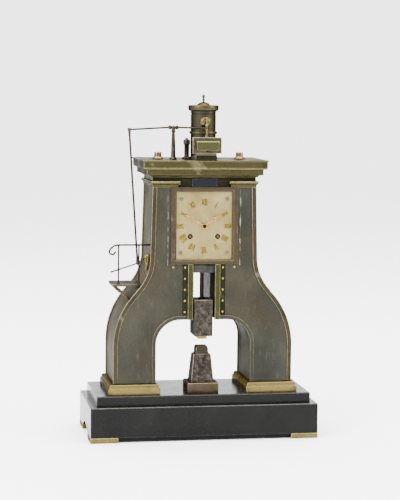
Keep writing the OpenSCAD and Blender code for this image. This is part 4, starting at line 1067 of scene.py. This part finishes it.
hinge_parts = []
for z in knuckles:
    hinge_parts += [turned([(0, z - 9.8), (1.9, z - 9.8), (1.9, z), (0.8, z), (0.8, z + 10.2),
                            (0.5, z + 10.6), (0, z + 10.6)],
                           (hinge[0], hinge[1], 0), steps=32),
                    block((hinge[0], hinge[0] + 8), (39.9, 41.1), (z - 9.7, z - 0.1), 0.2),
                    block((hinge[0] + 0.1, hinge[0] + 1.8), (39.9, hinge[1]), (z - 9.6, z - 0.2), 0.15)]
piece("hinge_leaves", "case", "brown_bronze", BRONZE, hinge_parts, "door_hinges")

at = span("bell")
bell_y, bell_z = 22, 262
piece("strike_bell", "case", "bell_metal", BELL, [turned(
    [(24, 3), (24, 3.8), (23.6, 5.4), (22.6, 7.4), (21, 9.4), (18.8, 11), (16, 12.2), (12, 13.1), (8, 13.6),
     (3.4, 13.8), (3.4, 12.4), (8, 12.2), (12, 11.8), (15.4, 10.8), (18, 9.8), (20, 8.4), (21.4, 6.8),
     (22.2, 5), (22.4, 3)],
    (at.cx, bell_y, bell_z), "Y", 72), turned([(0, 0), (3, 0), (3, 12.6), (3.6, 12.8), (3.6, 13.6),
                                               (2.4, 13.8),
                                        (0, 13.8)],
                                       (at.cx, bell_y, bell_z), "Y", 36)], "bell")


# ------------------------------------------------------------------ camera, light and floor

def look_out(place, azimuth, down, roll):
    """A matrix that puts something at a place, turned right by azimuth, tipped down and rolled."""
    a, d, r = (math.radians(v) for v in (azimuth, down, roll))
    ahead = Vector((math.sin(a) * math.cos(d), math.cos(a) * math.cos(d), -math.sin(d)))
    right = Vector((math.cos(a), -math.sin(a), 0))
    up = right.cross(ahead)
    side = math.cos(r) * right + math.sin(r) * up
    top = math.cos(r) * up - math.sin(r) * right
    turn = Matrix((side, top, -ahead)).transposed().to_4x4()
    return Matrix.Translation(place) @ turn


eye_data = bpy.data.cameras.new("viewer")
eye_data.lens = 118.3
eye_data.sensor_width = 36
viewer = bpy.data.objects.new("viewer", eye_data)
viewer.matrix_world = look_out((-0.36125, -2.0290, 0.43176), 10.15, 5.56, 0.60)
bpy.context.scene.collection.objects.link(viewer)
bpy.context.scene.camera = viewer

for name, place, target, size, watts in (
        ("window_left", (-1.6, -1.1, 1.5), (0, 0, 0.2), (1.4, 1.8), 130),
        ("window_right", (1.7, -1.0, 1.2), (0, 0, 0.2), (0.9, 1.6), 50),
        ("ceiling_panel", (0, 0.1, 2.2), (0, 0, 0), (2.4, 2.0), 160)):
    lamp = bpy.data.lights.new(name, "AREA")
    lamp.shape = "RECTANGLE"
    lamp.size, lamp.size_y = size
    lamp.energy = watts
    holder = bpy.data.objects.new(name, lamp)
    holder.matrix_world = Matrix.Translation(place) @ (Vector(target) - Vector(place)).to_track_quat(
        "-Z", "Y").to_matrix().to_4x4()
    bpy.context.scene.collection.objects.link(holder)

sky = bpy.data.worlds.new("studio_air")
sky.use_nodes = True
sky.node_tree.nodes["Background"].inputs["Color"].default_value = linear("#f4f4f5")
sky.node_tree.nodes["Background"].inputs["Strength"].default_value = 5.0
bpy.context.scene.world = sky

paper, paper_tree, paper_shader, paper_place = blank("matt_studio_paper")
fibre = add(paper_tree, "TexNoise", {"Vector": paper_place, "Scale": per(3), "Detail": 3.0})
whiteness = add(paper_tree, "ValToRGB", {"Fac": fibre}, stops=[(0.3, "#e6e6e6"), (0.7, "#e9e9e9")])
paper_tree.links.new(whiteness, paper_shader.inputs["Base Color"])
paper_shader.inputs["Roughness"].default_value = 0.9
paper_shader.inputs["Specular IOR Level"].default_value = 0.1
# flat round the clock, then curving up all round like a studio cove, so no horizon shows
flat_r, cove_r = 4.5, 4
sweep = [(0, 0), (flat_r, 0)] + [(flat_r + cove_r * sind(a), cove_r - cove_r * cosd(a))
                                    for a in range(6, 73, 6)]
ground = bmesh.new()
line = [ground.verts.new((r, 0, z)) for r, z in sweep]
bmesh.ops.spin(ground, geom=line + [ground.edges.new(p) for p in zip(line, line[1:])], angle=FULL_TURN,
               steps=96,
               axis=(0, 0, 1), cent=(0, 0, 0), use_merge=True, dvec=(0, 0, 0))
bmesh.ops.remove_doubles(ground, verts=ground.verts, dist=1e-5)
bmesh.ops.recalc_face_normals(ground, faces=ground.faces)
if sum(face.normal.z for face in ground.faces) < 0:
    bmesh.ops.reverse_faces(ground, faces=ground.faces)
for face in ground.faces:
    face.smooth = True
floor_mesh = bpy.data.meshes.new("studio_floor")
ground.to_mesh(floor_mesh)
ground.free()
floor_mesh.materials.append(paper)
floor = bpy.data.objects.new("studio_floor", floor_mesh)
bpy.context.scene.collection.objects.link(floor)
